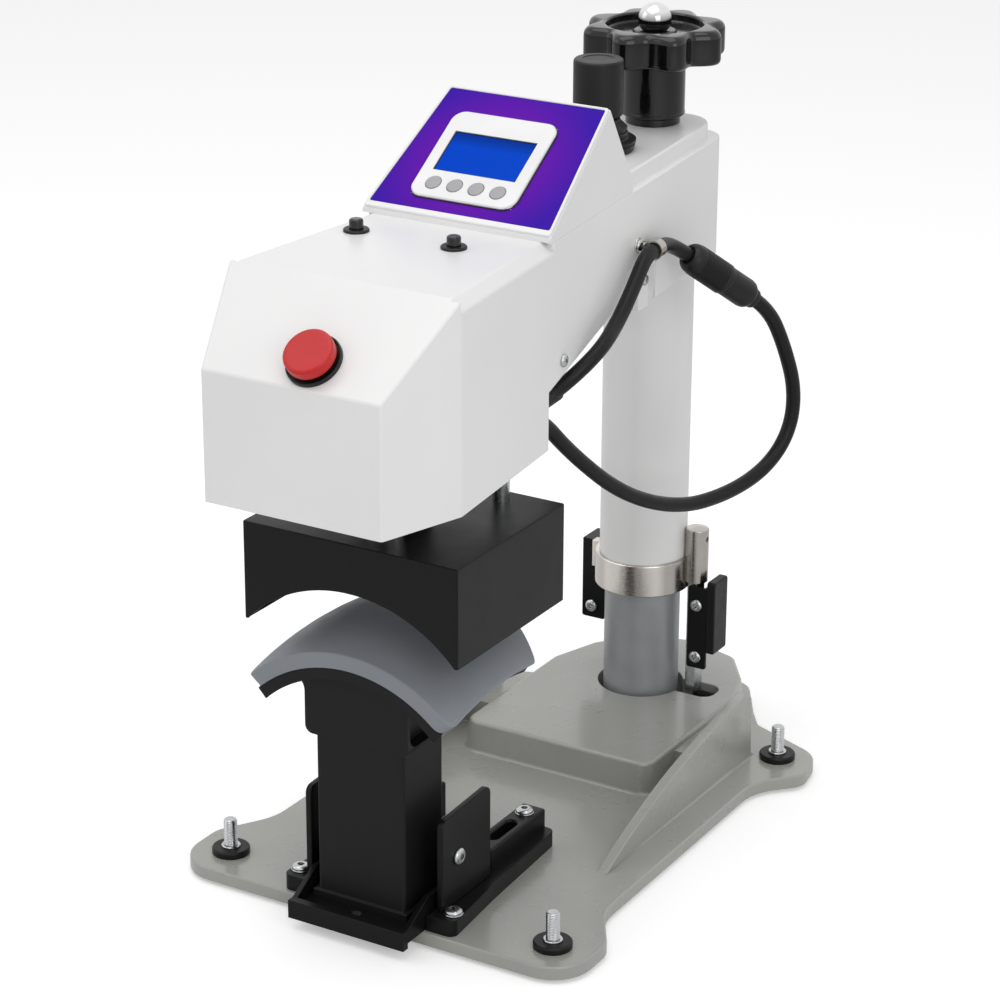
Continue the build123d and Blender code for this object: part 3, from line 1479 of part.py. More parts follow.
relay_y0 = -372.0
relay_y1 = -312.0
relay_half = 36.0
relay_z = floor_z + 8.0
with BuildPart() as power_parts:
    add(power_supply.part)
    with BuildSketch(Plane.XY.offset(relay_z)):
        with Locations((0.0, (relay_y0 + relay_y1) / 2)):
            Rectangle(2 * relay_half, relay_y1 - relay_y0)
    extrude(amount=board_t)
    with BuildSketch(Plane.XY.offset(floor_z)):
        with Locations((0.0, (relay_y0 + relay_y1) / 2)):
            with GridLocations(2 * relay_half - 10.0, relay_y1 - relay_y0 - 10.0, 2, 2):
                Circle(3.5)
    extrude(amount=relay_z - floor_z)
    with BuildSketch(Plane.XY.offset(relay_z + board_t)):
        with Locations((-14.0, (relay_y0 + relay_y1) / 2)):
            Rectangle(28.0, 34.0)
        with Locations((20.0, (relay_y0 + relay_y1) / 2)):
            Rectangle(18.0, 22.0)
    extrude(amount=16.0)
power_parts.part.label = "power_parts"
export_step(power_parts.part, "parts/power_parts.step")

# ---------------------------------------------------------------- heater lead
box_w = 30.0
box_d = 26.0
box_h = 26.4
box_neck_r = 7.5                 # neck that carries the cores up into the head
with BuildPart() as terminal_box:
    with BuildSketch(Plane.XY.offset(platen_top)):
        with Locations((0.0, platen_mid_y)):
            Rectangle(box_w, box_d)
    extrude(amount=box_h)
    chamfer(edges().group_by(Axis.Z)[-1], length=1.0)
    with BuildSketch(Plane.XY.offset(platen_top + box_h)):
        with Locations((0.0, platen_mid_y)):
            Circle(box_neck_r)
    extrude(amount=head_low + sheet + 3.0 - platen_top - box_h)
terminal_box.part.label = "terminal_box"
export_step(terminal_box.part, "parts/terminal_box.step")

gland_len = 9.0
gland_barrel = 5.0
with BuildPart() as lead_gland:
    with BuildSketch(Plane.XZ.offset(-head_back_y)):
        with Locations(*gland_spots):
            RegularPolygon(radius=gland_r, side_count=6)
    extrude(amount=-gland_len)
    with BuildSketch(Plane.XZ.offset(-head_back_y)):
        with Locations(*gland_spots):
            Circle(gland_hole_r)
    extrude(amount=gland_barrel)
lead_gland.part.label = "lead_gland"
export_step(lead_gland.part, "parts/lead_gland.step")
print("gland", lead_gland.part.bounding_box(), len(lead_gland.part.solids()))

plug_start = Vector(71.0, -74.5, 422.0)
plug_end = Vector(100.0, -21.5, 378.5)
plug_dir = (plug_end - plug_start).normalized()
plug_len = (plug_end - plug_start).length


def lead_route(points):
    """Straight runs joined by arcs, each arc as large as its two runs allow."""
    radii = []
    for before, here, after in zip(points, points[1:], points[2:]):
        turn = radians((here - before).get_angle(after - here))
        shorter = min((here - before).length, (after - here).length)
        radii.append(0.45 * shorter / tan(turn / 2))
    with BuildLine() as route:
        FilletPolyline(*points, radius=radii)
    return route.wires()[0], radii


def lead_tube(route, radii, name):
    """Round lead along a route."""
    with BuildPart() as tube:
        with BuildLine():
            add(route)
        with BuildSketch(Plane(origin=route @ 0, z_dir=route % 0)):
            Circle(cable_r)
        sweep()
    print(name, "radii", [round(r, 1) for r in radii], "length", round(route.length, 1))
    print(name, "volume", round(tube.part.volume), "section x length", round(pi * cable_r ** 2 * route.length))
    return tube.part


lead_upper_points = [
    Vector(lead_x, head_back_y + gland_len, lead_z),
    Vector(lead_x, -251.0, lead_z),
    Vector(80.5, -224.0, 391.0),
    Vector(74.5, -186.0, 402.0),
    Vector(72.0, -159.0, 420.0),
    Vector(69.4, -137.0, 437.0),
    Vector(67.2, -112.0, 438.0),
    plug_start - plug_dir * 18.0,
    plug_start,
]
lead_lower_points = [
    plug_end,
    plug_end + plug_dir * 17.0,
    Vector(114.0, 4.0, 337.0),
    Vector(118.5, 16.0, 300.0),
    Vector(116.5, 14.0, 267.0),
    Vector(109.0, -7.0, 243.0),
    Vector(97.0, -46.0, 232.0),
    Vector(82.0, -98.0, 234.0),
    Vector(66.0, -158.0, 261.0),
    Vector(53.0, -214.0, 309.0),
    Vector(return_x, -248.0, return_z),
    Vector(return_x, head_back_y + gland_len, return_z),
]
upper_route, upper_radii = lead_route(lead_upper_points)
lower_route, lower_radii = lead_route(lead_lower_points)
with BuildPart() as heater_lead:
    add(lead_tube(upper_route, upper_radii, "upper stretch"))
    add(lead_tube(lower_route, lower_radii, "lower stretch"))
heater_lead.part.label = "heater_lead"
export_step(heater_lead.part, "parts/heater_lead.step")

# two-part connector in the lead
boot_r = 8.0
boot_len = 6.0
plug_r = 12.0
plug_part_len = 34.0
socket_r = 11.2
with BuildPart() as lead_plug:
    with BuildSketch(Plane(origin=plug_start, z_dir=plug_dir)):
        Circle(boot_r)
    extrude(amount=boot_len)
    with BuildSketch(Plane(origin=plug_start + plug_dir * boot_len, z_dir=plug_dir)):
        Circle(plug_r)
    extrude(amount=plug_part_len)
lead_plug.part.label = "lead_plug"
export_step(lead_plug.part, "parts/lead_plug.step")
with BuildPart() as lead_socket:
    with BuildSketch(Plane(origin=plug_start + plug_dir * (boot_len + plug_part_len), z_dir=plug_dir)):
        Circle(socket_r)
    extrude(amount=plug_len - 2 * boot_len - plug_part_len)
    with BuildSketch(Plane(origin=plug_end - plug_dir * boot_len, z_dir=plug_dir)):
        Circle(boot_r)
    extrude(amount=boot_len)
lead_socket.part.label = "lead_socket"
export_step(lead_socket.part, "parts/lead_socket.step")

# clip that holds the lead to the flank
clip_gap = 0.35
clip_t = 1.6
clip_w = 9.0
clip_share = 0.777               # place of the clip along the upper stretch
clip_spot = upper_route @ clip_share
clip_dir = upper_route % clip_share
tab_plane = side_plane(clip_screw_y, clip_screw_z)
clip_local = tab_plane.to_local_coords(clip_spot)
tab_t = 1.2
clip_head_h = 2.2
with BuildPart() as lead_clip:
    with BuildSketch(Plane(origin=clip_spot - clip_dir * (clip_w / 2), z_dir=clip_dir)):
        Circle(cable_r + clip_gap + clip_t)
    extrude(amount=clip_w)
    with BuildSketch(tab_plane):
        Circle(6.0)
        with BuildLine():
            Line((0.0, 0.0), (clip_local.X + 1.0, clip_local.Y))
        trace(line_width=clip_w)
    extrude(amount=tab_t)
    with BuildSketch(tab_plane):
        with Locations((clip_local.X, clip_local.Y)):
            Circle(4.0)
    extrude(amount=clip_local.Z - cable_r)
    with BuildSketch(Plane(origin=clip_spot - clip_dir * clip_w, z_dir=clip_dir)):
        Circle(cable_r + clip_gap)
    extrude(amount=2 * clip_w, mode=Mode.SUBTRACT)
    with BuildSketch(tab_plane.offset(-1.0)):
        Circle(screw_r)
    extrude(amount=5.0, mode=Mode.SUBTRACT)
lead_clip.part.label = "lead_clip"
export_step(lead_clip.part, "parts/lead_clip.step")
print("clip", clip_spot, clip_local, lead_clip.part.bounding_box(), len(lead_clip.part.solids()))
with BuildPart() as clip_screw:
    with BuildSketch(tab_plane.offset(tab_t)):
        Circle(flank_head_r)
    extrude(amount=clip_head_h)
    fillet(edges().filter_by(GeomType.CIRCLE).sort_by(Axis.X)[-1], radius=1.2)
    with BuildSketch(tab_plane.offset(-sheet - 4.0)):
        Circle(screw_r)
    extrude(amount=sheet + 4.0 + tab_t)
    with BuildSketch(tab_plane.offset(tab_t + 1.0)):
        RegularPolygon(radius=1.9, side_count=6)
    extrude(amount=5.0, mode=Mode.SUBTRACT)

# block under the arm, in front of the sleeve
saddle_half = 50.0
saddle_front_y = -110.0
saddle_low = 384.0
saddle_top = 415.0
saddle_screw_y = -102.0
saddle_screw_z = 407.0
with BuildPart() as saddle_block:
    with BuildSketch(Plane.XY.offset(saddle_low)):
        with Locations((0.0, (saddle_front_y + block_front_y) / 2)):
            Rectangle(2 * saddle_half, block_front_y - saddle_front_y)
    extrude(amount=saddle_top - saddle_low)
    chamfer(edges().group_by(Axis.Z)[0], length=1.5)
    for side in (-1, 1):
        with BuildSketch(Plane.YZ.offset(side * saddle_half)):
            with Locations((saddle_screw_y, saddle_screw_z)):
                Circle(screw_r)
        extrude(amount=-side * 12.0, mode=Mode.SUBTRACT)
saddle_block.part.label = "saddle_block"
export_step(saddle_block.part, "parts/saddle_block.step")
with BuildPart() as saddle_screws:
    for side in (-1, 1):
        with BuildSketch(Plane.YZ.offset(side * saddle_half)):
            with Locations((saddle_screw_y, saddle_screw_z)):
                Circle(flank_head_r - 0.5)
        extrude(amount=side * 2.6)
        with BuildSketch(Plane.YZ.offset(side * (saddle_half - 10.0))):
            with Locations((saddle_screw_y, saddle_screw_z)):
                Circle(screw_r)
        extrude(amount=side * 10.0)

with BuildPart() as head_screws:
    add(bracket_screws.part)
    add(flank_screws_right.part)
    add(clip_screw.part)
    add(saddle_screws.part)
head_screws.part.label = "head_screws"
export_step(head_screws.part, "parts/head_screws.step")
print("head screws", len(head_screws.part.solids()))
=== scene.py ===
"""Cap heat press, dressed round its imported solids.

Sizes are in millimetres in the frame of the press: the column's axis on the bench, +Z up, the
operator on the -Y side. Meshes are written in metres.
"""

import json
import logging
import math
from dataclasses import dataclass
from enum import Enum
from typing import Callable, Sequence

import bmesh
import bpy
from mathutils import Matrix, Vector


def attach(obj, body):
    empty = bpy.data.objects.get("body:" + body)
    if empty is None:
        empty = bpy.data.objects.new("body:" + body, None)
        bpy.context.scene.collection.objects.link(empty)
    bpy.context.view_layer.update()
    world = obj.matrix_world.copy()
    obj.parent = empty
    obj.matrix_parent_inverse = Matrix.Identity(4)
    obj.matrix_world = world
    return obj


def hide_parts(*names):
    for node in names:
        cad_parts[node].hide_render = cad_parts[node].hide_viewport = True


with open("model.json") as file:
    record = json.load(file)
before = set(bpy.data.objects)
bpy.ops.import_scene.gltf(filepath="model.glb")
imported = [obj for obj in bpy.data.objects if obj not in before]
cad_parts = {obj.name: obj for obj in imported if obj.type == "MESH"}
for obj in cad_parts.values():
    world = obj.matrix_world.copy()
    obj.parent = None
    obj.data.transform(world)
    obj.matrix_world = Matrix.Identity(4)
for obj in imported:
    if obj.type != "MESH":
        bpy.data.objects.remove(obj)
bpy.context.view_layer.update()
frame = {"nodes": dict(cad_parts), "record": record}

log = logging.getLogger("heat_press")

MM = 0.001
SMOOTH_ANGLE = math.radians(32.0)
FOOT_X = 135.5
FOOT_ROWS = (-375.4, -26.4)
START_SPOTS = ((-52.5, -325.0), (25.0, -325.0))
REGULATOR_SPOT = (4.0, -92.0)

Colour = tuple[float, float, float]
Pair = tuple[float, float]
Spot = tuple[float, float, float]
EdgeTest = Callable[[Vector, Vector], bool]
Rings = Sequence[Sequence[Vector]]
Socket = bpy.types.NodeSocket


class Body(Enum):
    """Bodies of the press that pieces ride on."""

    BASE = "base"
    SLED = "sled"
    HEAD = "head"
    KNOB = "pressure_knob"
    REGULATOR = "regulator_knob"
    STOP = "stop_cap"
    START_LEFT = "start_cap_left"
    START_RIGHT = "start_cap_right"
    KEY_1 = "key_1"
    KEY_2 = "key_2"
    KEY_3 = "key_3"
    KEY_4 = "key_4"


# ------------------------------------------------------------------ shader graphs
class Nodes:
    """Node tree under construction."""

    def __init__(self, tree: bpy.types.NodeTree) -> None:
        """Starts from an emptied tree."""
        self.tree = tree
        tree.nodes.clear()

    def add(self, kind: str, inputs: dict | None = None, **settings: object) -> bpy.types.Node:
        """Adds a node.

        Args:
            kind: Blender's name of the node type.
            inputs: Values or sockets by input name or number.
            **settings: Properties of the node, set before its inputs.

        Returns:
            The new node.
        """
        node = self.tree.nodes.new(kind)
        for key, value in settings.items():
            setattr(node, key, value)
        for key, value in (inputs or {}).items():
            self.put(node.inputs[key], value)
        return node

    def put(self, socket: Socket, value: object) -> None:
        """Links a socket to another or sets its value.

        Args:
            socket: Input of a node.
            value: Output of another node, or a plain value; a colour has no alpha.
        """
        if isinstance(value, Socket):
            self.tree.links.new(value, socket)
        elif socket.type == "RGBA":
            socket.default_value = (*value, 1.0)
        else:
            socket.default_value = value

    def math(self, kind: str, first: object, second: object = 0.0) -> Socket:
        """One arithmetic step on values or sockets."""
        return self.add("ShaderNodeMath", {0: first, 1: second}, operation=kind).outputs[0]


class Graph(Nodes):
    """Shader graph of one finish, with its principled shader and the press's own coordinates."""

    def __init__(self, name: str) -> None:
        """Starts the graph in a new material.

        Args:
            name: Name of the material.
        """
        self.material = bpy.data.materials.new(name)
        self.material.use_nodes = True
        super().__init__(self.material.node_tree)
        self.shader = self.add("ShaderNodeBsdfPrincipled")
        self.output = self.add("ShaderNodeOutputMaterial", {0: self.shader.outputs[0]})
        self.place = self.add("ShaderNodeTexCoord").outputs["Object"]

    def set(self, **inputs: object) -> None:
        """Sets inputs of the principled shader, named with underscores for spaces."""
        for key, value in inputs.items():
            self.put(self.shader.inputs[key.replace("_", " ")], value)

    def noise(self, scale: float, detail: float = 2.0, stretch: Spot = (1.0, 1.0, 1.0)) -> Socket:
        """Noise over the object.

        Args:
            scale: Features per metre.
            detail: Octaves of finer noise.
            stretch: Factor on each axis, for drawn or brushed grain.

        Returns:
            The socket with values round one half.
        """
        place = self.place
        if stretch != (1.0, 1.0, 1.0):
            place = self.add("ShaderNodeMapping", {"Vector": place, "Scale": stretch}).outputs[0]
        node = self.add("ShaderNodeTexNoise", {"Vector": place, "Scale": scale, "Detail": detail})
        return node.outputs["Fac"]

    def spread(self, value: Socket, low: float, high: float, source: Pair = (0.3, 0.7)) -> Socket:
        """Maps a value from its source range to low and high."""
        ends = {0: value, 1: source[0], 2: source[1], 3: low, 4: high}
        return self.add("ShaderNodeMapRange", ends).outputs[0]

    def blend(self, share: object, first: object, second: object) -> Socket:
        """Mixes two colours, plain or sockets, by the share of the second."""
        return self.add("ShaderNodeMix", {0: share, 6: first, 7: second}, data_type="RGBA").outputs[2]

    def patches(self, colour: object, other: Colour, scale: float, detail: float, most: float = 1.0,
                source: Pair = (0.3, 0.7)) -> Socket:
        """Mixes a second colour in, up to the most, where noise lies in the source range."""
        return self.blend(self.spread(self.noise(scale, detail), 0.0, most, source), colour, other)

    def rubbed_and_lit(self, colour: Socket, bare: Colour, share: float) -> Socket:
        """Mixes a lighter colour into the rounded edges, partly wear and partly painted highlight, broken up
        by noise.
        """
        edge = self.add("ShaderNodeAttribute", attribute_name="edge_wear_and_highlight").outputs["Fac"]
        worn_and_lit = self.math("MULTIPLY", edge, self.spread(self.noise(160.0, 4.0), 0.0, 1.0, (0.42, 0.62)))
        return self.blend(self.math("MULTIPLY", worn_and_lit, share), colour, bare)

    def bump(self, height: Socket, strength: float, distance: float, under: Socket | None = None) -> Socket:
        """Surface relief.

        Args:
            height: Height pattern.
            strength: Share of the relief that shows.
            distance: Depth of the relief in metres.
            under: Normal that the relief adds to.

        Returns:
            The new normal.
        """
        node = self.add("ShaderNodeBump", {"Height": height, "Strength": strength, "Distance": distance})
        if under is not None:
            self.put(node.inputs["Normal"], under)
        return node.outputs[0]


@dataclass(frozen=True)
class Finish:
    """Surface finish of a family of pieces, named as its slot."""

    name: str
    colour: Colour
    roughness: float

    def build(self) -> bpy.types.Material:
        """Makes the finished material."""
        graph = Graph(self.name)
        self.dress(graph)
        return graph.material

    def dress(self, graph: Graph) -> None:
        """Fills the graph with the finish's own nodes."""
        raise NotImplementedError

    def tone(self, share: float) -> Colour:
        """The colour made darker or lighter by a factor."""
        return tuple(min(1.0, part * share) for part in self.colour)

    def uneven(self, graph: Graph, pattern: Socket, less: float, more: float) -> Socket:
        """The roughness, varied by a pattern."""
        return graph.spread(pattern, self.roughness - less, self.roughness + more)


@dataclass(frozen=True)
class PowderCoat(Finish):
    """Baked powder coat on sheet steel: orange peel, soft gloss and a lighter colour on the edges, partly
    wear and partly painted highlight.
    """

    peel: float = 0.10
    # Colour and share of the lighter edges: partly wear, partly painted highlight.
    edge: Colour = (0.5, 0.5, 0.5)
    edge_share: float = 0.3
    gloss: float = 0.0
    specular: float = 0.5

    def dress(self, graph: Graph) -> None:
        """Fills the graph.

        Args:
            graph: Graph of the material.
        """
        colour = graph.patches(self.tone(0.975), self.tone(1.02), 7.0, 3.0)
        colour = graph.patches(colour, self.tone(0.93), 1900.0, 1.0, 0.5, (0.55, 0.8))
        # Lighter edges: partly wear, partly painted highlight.
        colour = graph.rubbed_and_lit(colour, self.edge, self.edge_share)
        rough = self.uneven(graph, graph.noise(38.0, 3.0), 0.04, 0.05)
        waves = graph.bump(graph.noise(95.0, 2.0), self.peel * 0.7, 0.00025)
        normal = graph.bump(graph.noise(760.0, 2.0), self.peel, 0.00010, waves)
        graph.set(Base_Color=colour, Roughness=rough, Normal=normal, Coat_Weight=self.gloss,
                  Coat_Roughness=0.22, Specular_IOR_Level=self.specular)


@dataclass(frozen=True)
class CastPaint(Finish):
    """Stoving paint on a sand casting: broad waves under a semi gloss coat."""

    def dress(self, graph: Graph) -> None:
        """Fills the graph.

        Args:
            graph: Graph of the material.
        """
        colour = graph.patches(self.tone(0.95), self.tone(1.04), 9.0, 4.0)
        colour = graph.patches(colour, self.tone(0.9), 1300.0, 2.0, 0.35, (0.5, 0.75))
        # Lighter edges: partly wear, partly painted highlight.
        colour = graph.rubbed_and_lit(colour, self.tone(1.45), 0.12)
        rough = self.uneven(graph, graph.noise(26.0, 3.0), 0.05, 0.07)
        waves = graph.bump(graph.noise(30.0, 1.0), 0.08, 0.0003)
        normal = graph.bump(graph.noise(620.0, 2.0), 0.10, 0.00010, waves)
        graph.set(Base_Color=colour, Roughness=rough, Normal=normal, Coat_Weight=0.45, Coat_Roughness=0.14)


class Grain(Enum):
    """How a metal surface was left, as the stretch of its fine lines."""

    TURNED = (1.0, 1.0, 30.0)
    DRAWN = (18.0, 18.0, 0.5)
    PLATED = (1.0, 1.0, 1.0)
    MILLED = (0.6, 16.0, 16.0)


@dataclass(frozen=True)
class Metal(Finish):
    """Bare, plated or anodised metal with the lines of its making, and painted dark reflections on the chrome
    and the nickel.
    """

    grain: Grain = Grain.PLATED
    depth: float = 0.06
    metallic: float = 1.0
    stain: float = 0.12
    pitch: float = 260.0
    painted_reflection_bands: float = 0.0
    painted_dark_reflection: float = 0.0
    # Share of the lighter edges: partly wear, partly painted highlight.
    rub_and_highlight: float = 0.4
    specular: float = 0.5

    def dress(self, graph: Graph) -> None:
        """Fills the graph.

        Args:
            graph: Graph of the material.
        """
        colour = graph.patches(self.tone(1.0 - self.stain), self.tone(1.03), 45.0, 4.0)
        lines = graph.noise(self.pitch, 3.0, self.grain.value)
        colour = graph.blend(graph.spread(lines, 0.0, 0.5, (0.45, 0.7)), colour, self.tone(0.9))
        # Painted reflection: dark vertical streaks on the turned surface.
        if self.painted_reflection_bands:
            painted_sheen = graph.spread(graph.noise(34.0, 1.0, (1.0, 1.0, 0.01)), 0.0, self.painted_reflection_bands, (0.42, 0.6))
            colour = graph.blend(painted_sheen, colour, self.tone(0.33))
        # Painted dark reflection: darker where the surface faces sideways and down.
        if self.painted_dark_reflection:
            normal = graph.add("ShaderNodeNewGeometry").outputs["Normal"]
            height = graph.add("ShaderNodeSeparateXYZ", {0: normal}).outputs["Z"]
            under = graph.spread(height, self.painted_dark_reflection, 0.0, (0.0, 0.55))
            colour = graph.blend(under, colour, self.tone(0.12))
        # Lighter edges: partly wear, partly painted highlight.
        colour = graph.rubbed_and_lit(colour, self.tone(1.25), self.rub_and_highlight)
        graph.set(Base_Color=colour, Metallic=self.metallic, Roughness=self.uneven(graph, lines, 0.05, 0.08),
                  Normal=graph.bump(lines, self.depth, 0.00005), Specular_IOR_Level=self.specular)


@dataclass(frozen=True)
class Rubber(Finish):
    """Matt rubber or silicone with a dusty bloom."""

    bloom: float = 0.10
    pore: float = 0.12
    specular: float = 0.4

    def dress(self, graph: Graph) -> None:
        """Fills the graph.

        Args:
            graph: Graph of the material.
        """
        colour = graph.patches(self.colour, self.tone(1.6), 34.0, 5.0, self.bloom, (0.4, 0.7))
        colour = graph.patches(colour, self.tone(0.82), 1500.0, 2.0, 0.4, (0.45, 0.75))
        # Lighter edges: partly wear, partly painted highlight.
        colour = graph.rubbed_and_lit(colour, self.tone(1.5), 0.3)
        rough = self.uneven(graph, graph.noise(70.0, 3.0), 0.06, 0.08)
        normal = graph.bump(graph.noise(1100.0, 3.0), self.pore, 0.00008)
        graph.set(Base_Color=colour, Roughness=rough, Normal=normal, Specular_IOR_Level=self.specular,
                  Sheen_Weight=0.02, Sheen_Roughness=0.5)


@dataclass(frozen=True)
class Plastic(Finish):
    """Moulded plastic, from spark-eroded matt to polished."""

    texture: float = 0.10
    clear: float = 0.0
    specular: float = 0.5

    def dress(self, graph: Graph) -> None:
        """Fills the graph.

        Args:
            graph: Graph of the material.
        """
        colour = graph.patches(self.tone(0.95), self.tone(1.05), 18.0, 3.0)
        # Lighter edges: partly wear, partly painted highlight.
        colour = graph.rubbed_and_lit(colour, self.tone(1.6), 0.25)
        rough = self.uneven(graph, graph.noise(120.0, 4.0), 0.03, 0.05)
        normal = graph.bump(graph.noise(2100.0, 1.0), self.texture, 0.00005)
        graph.set(Base_Color=colour, Roughness=rough, Normal=normal, Coat_Weight=self.clear,
                  Coat_Roughness=0.08, Specular_IOR_Level=self.specular)


@dataclass(frozen=True)
class PanelFilm(Finish):
    """Printed film of the control face: violet round the controller, indigo towards the corners."""

    outer: Colour = (0.05, 0.012, 0.40)
    speck: Colour = (0.04, 0.0096, 0.32)
    centre: Spot = (-4.0, -236.7, 518.1)
    reach: Pair = (30.0, 78.0)

    def dress(self, graph: Graph) -> None:
        """Fills the graph.

        Args:
            graph: Graph of the material.
        """
        spots = {0: graph.place, 1: tuple(part * MM for part in self.centre)}
        away = graph.add("ShaderNodeVectorMath", spots, operation="DISTANCE").outputs["Value"]
        share = graph.spread(away, 0.0, 1.0, (self.reach[0] * MM, self.reach[1] * MM))
        colour = graph.blend(share, self.colour, self.outer)
        colour = graph.patches(colour, self.speck, 1700.0, 1.0, 0.22, (0.5, 0.75))
        rough = self.uneven(graph, graph.noise(60.0, 3.0), 0.04, 0.05)
        normal = graph.bump(graph.noise(1400.0, 2.0), 0.08, 0.00005)
        graph.set(Base_Color=colour, Roughness=rough, Normal=normal, Specular_IOR_Level=0.02)


@dataclass(frozen=True)
class Display(Finish):
    """Backlit blank display behind its window: even blue, dimmer along the upper edge."""

    dim: Colour = (0.0, 0.02, 0.16)
    upper_edge: Pair = (525.5, 530.6)

    def dress(self, graph: Graph) -> None:
        """Fills the graph.

        Args:
            graph: Graph of the material.
        """
        height = graph.add("ShaderNodeSeparateXYZ", {0: graph.place}).outputs["Z"]
        edge = graph.spread(height, 0.0, 0.75, (self.upper_edge[0] * MM, self.upper_edge[1] * MM))
        colour = graph.patches(graph.blend(edge, self.colour, self.dim), self.tone(0.8), 900.0, 0.0, 0.12)
        rough = self.uneven(graph, graph.noise(40.0, 2.0), 0.0, 0.06)
        graph.set(Base_Color=colour, Roughness=rough, Emission_Color=colour, Emission_Strength=0.36,
                  Specular_IOR_Level=0.02)


FINISHES: dict[str, Finish] = {finish.name: finish for finish in (
    # Lighter edge colours are partly wear and partly painted highlight; on the white enamel the lighter edge
    # is painted highlight only.
    PowderCoat("white_enamel", (0.86, 0.86, 0.858), 0.34, peel=0.06, edge=(0.95, 0.95, 0.95), gloss=0.2),
    PowderCoat("black_enamel", (0.0065, 0.0065, 0.007), 0.33, peel=0.08, edge=(0.14, 0.14, 0.14),
               edge_share=0.45, specular=0.17),
    CastPaint("grey_enamel", (0.375, 0.377, 0.350), 0.28),
    Metal("black_anodised", (0.008, 0.008, 0.0085), 0.46, Grain.DRAWN, metallic=0.0, specular=0.2),
    Metal("drive_aluminium", (0.6, 0.6, 0.62), 0.35, Grain.TURNED),
    Metal("bare_aluminium", (0.68, 0.68, 0.69), 0.38, Grain.MILLED, stain=0.2),
    Metal("column_steel", (0.37, 0.385, 0.40), 0.36, Grain.DRAWN, metallic=0.25),
    Metal("zinc_steel", (0.52, 0.53, 0.54), 0.22, stain=0.06, pitch=300.0, depth=0.004, rub_and_highlight=0.05),
    # The nickel's dark streaks are a painted reflection.
    Metal("nickel", (0.78, 0.735, 0.69), 0.22, Grain.TURNED, painted_reflection_bands=0.6),
    # The chrome's darker sides are a painted reflection.
    Metal("chrome", (0.78, 0.78, 0.79), 0.06, stain=0.04, depth=0.01, painted_dark_reflection=0.9),
    Metal("bronze", (0.62, 0.42, 0.16), 0.34, Grain.TURNED),
    Rubber("black_rubber", (0.007, 0.007, 0.007), 0.38, bloom=0.05, specular=0.22),
    Rubber("grey_silicone", (0.235, 0.25, 0.275), 0.5, bloom=0.08, pore=0.1),
    Rubber("mica", (0.52, 0.45, 0.33), 0.7, bloom=0.3, pore=0.3),
    Plastic("black_plastic", (0.009, 0.009, 0.009), 0.40, texture=0.12, specular=0.3),
    Plastic("gloss_black", (0.004, 0.004, 0.0045), 0.12, texture=0.01, clear=0.25, specular=0.35),
    Plastic("red_plastic", (0.56, 0.012, 0.014), 0.30, texture=0.05, clear=0.1, specular=0.3),
    Plastic("silver_plastic", (0.87, 0.87, 0.87), 0.36, texture=0.08),
    Plastic("grey_key", (0.38, 0.38, 0.395), 0.45, texture=0.2),
    Plastic("green_board", (0.02, 0.13, 0.045), 0.35, texture=0.05, clear=0.3),
    Display("blue_display", (0.0, 0.045, 0.44), 0.16),
    PanelFilm("purple_panel", (0.17, 0.010, 0.43), 0.32),
)}


class Palette:
    """Materials by the record's slot names, each built once."""

    def __init__(self) -> None:
        """Starts with no material built."""
        self.built: dict[str, bpy.types.Material] = {}

    def get(self, slot: str) -> bpy.types.Material:
        """The material of a slot, built on first use."""
        if slot not in self.built:
            self.built[slot] = FINISHES[slot].build()
        return self.built[slot]


# ------------------------------------------------------------------ outlines and profiles
def rounded_path(points: Sequence[Pair], radii: Sequence[float] | float, closed: bool,
                 steps: int = 5) -> list[Pair]:
    """Rounds the corners of a path in the plane.

    Args:
        points: Corners of the path.
        radii: One radius, or one for each corner; the ends of an open path stay.
        closed: Whether the last corner joins the first.
        steps: Chords in each rounded corner.

    Returns:
        The rounded path.
    """
    count = len(points)
    sizes = [radii] * count if isinstance(radii, float) else list(radii)
    path: list[Pair] = []
    for number, point in enumerate(points):
        here = Vector(point)
        if sizes[number] <= 0.0 or (not closed and number in (0, count - 1)):
            path.append((here.x, here.y))
            continue
        before = (Vector(points[number - 1]) - here).normalized()
        after = (Vector(points[(number + 1) % count]) - here).normalized()
        turn = before.angle(after)
        reach = sizes[number] / math.tan(turn / 2)
        middle = here + (before + after).normalized() * (sizes[number] / math.sin(turn / 2))
        first, last = here + before * reach - middle, here + after * reach - middle
        sweep = first.angle_signed(last)
        for step in range(steps + 1):
            arm = Vector(first)
            arm.rotate(Matrix.Rotation(-sweep * step / steps, 2))
            path.append((middle.x + arm.x, middle.y + arm.y))
    return path


def lifted(path: Sequence[Pair], height: float) -> list[Vector]:
    """Ring of points over a path at a height."""
    return [Vector((x, y, height)) for x, y in path]


def circle(radius: float, height: float, count: int = 64) -> list[Vector]:
    """Ring of points on a circle at a height."""
    turns = (2.0 * math.pi * n / count for n in range(count))
    return lifted([(radius * math.cos(turn), radius * math.sin(turn)) for turn in turns], height)


def hexagon(across: float, height: float, count: int = 48) -> list[Vector]:
    """Ring of points on a hexagon, at the angles of a circle of as many points.

    Args:
        across: Width across its flats.
        height: Height of the ring.
        count: Points in the ring.

    Returns:
        The ring.
    """
    ring = []
    for n in range(count):
        angle = 2.0 * math.pi * n / count
        away = (angle + math.pi / 6) % (math.pi / 3) - math.pi / 6
        radius = across / 2.0 / math.cos(away)
        ring.append(Vector((radius * math.cos(angle), radius * math.sin(angle), height)))
    return ring


def rounded_box(half: Pair, radius: float, height: float, steps: int = 4,
                centre: Pair = (0.0, 0.0)) -> list[Vector]:
    """Ring of points on a rectangle with rounded corners."""
    (x, y), (a, b) = centre, half
    corners = [(x - a, y - b), (x + a, y - b), (x + a, y + b), (x - a, y + b)]
    return lifted(rounded_path(corners, radius, True, steps), height)


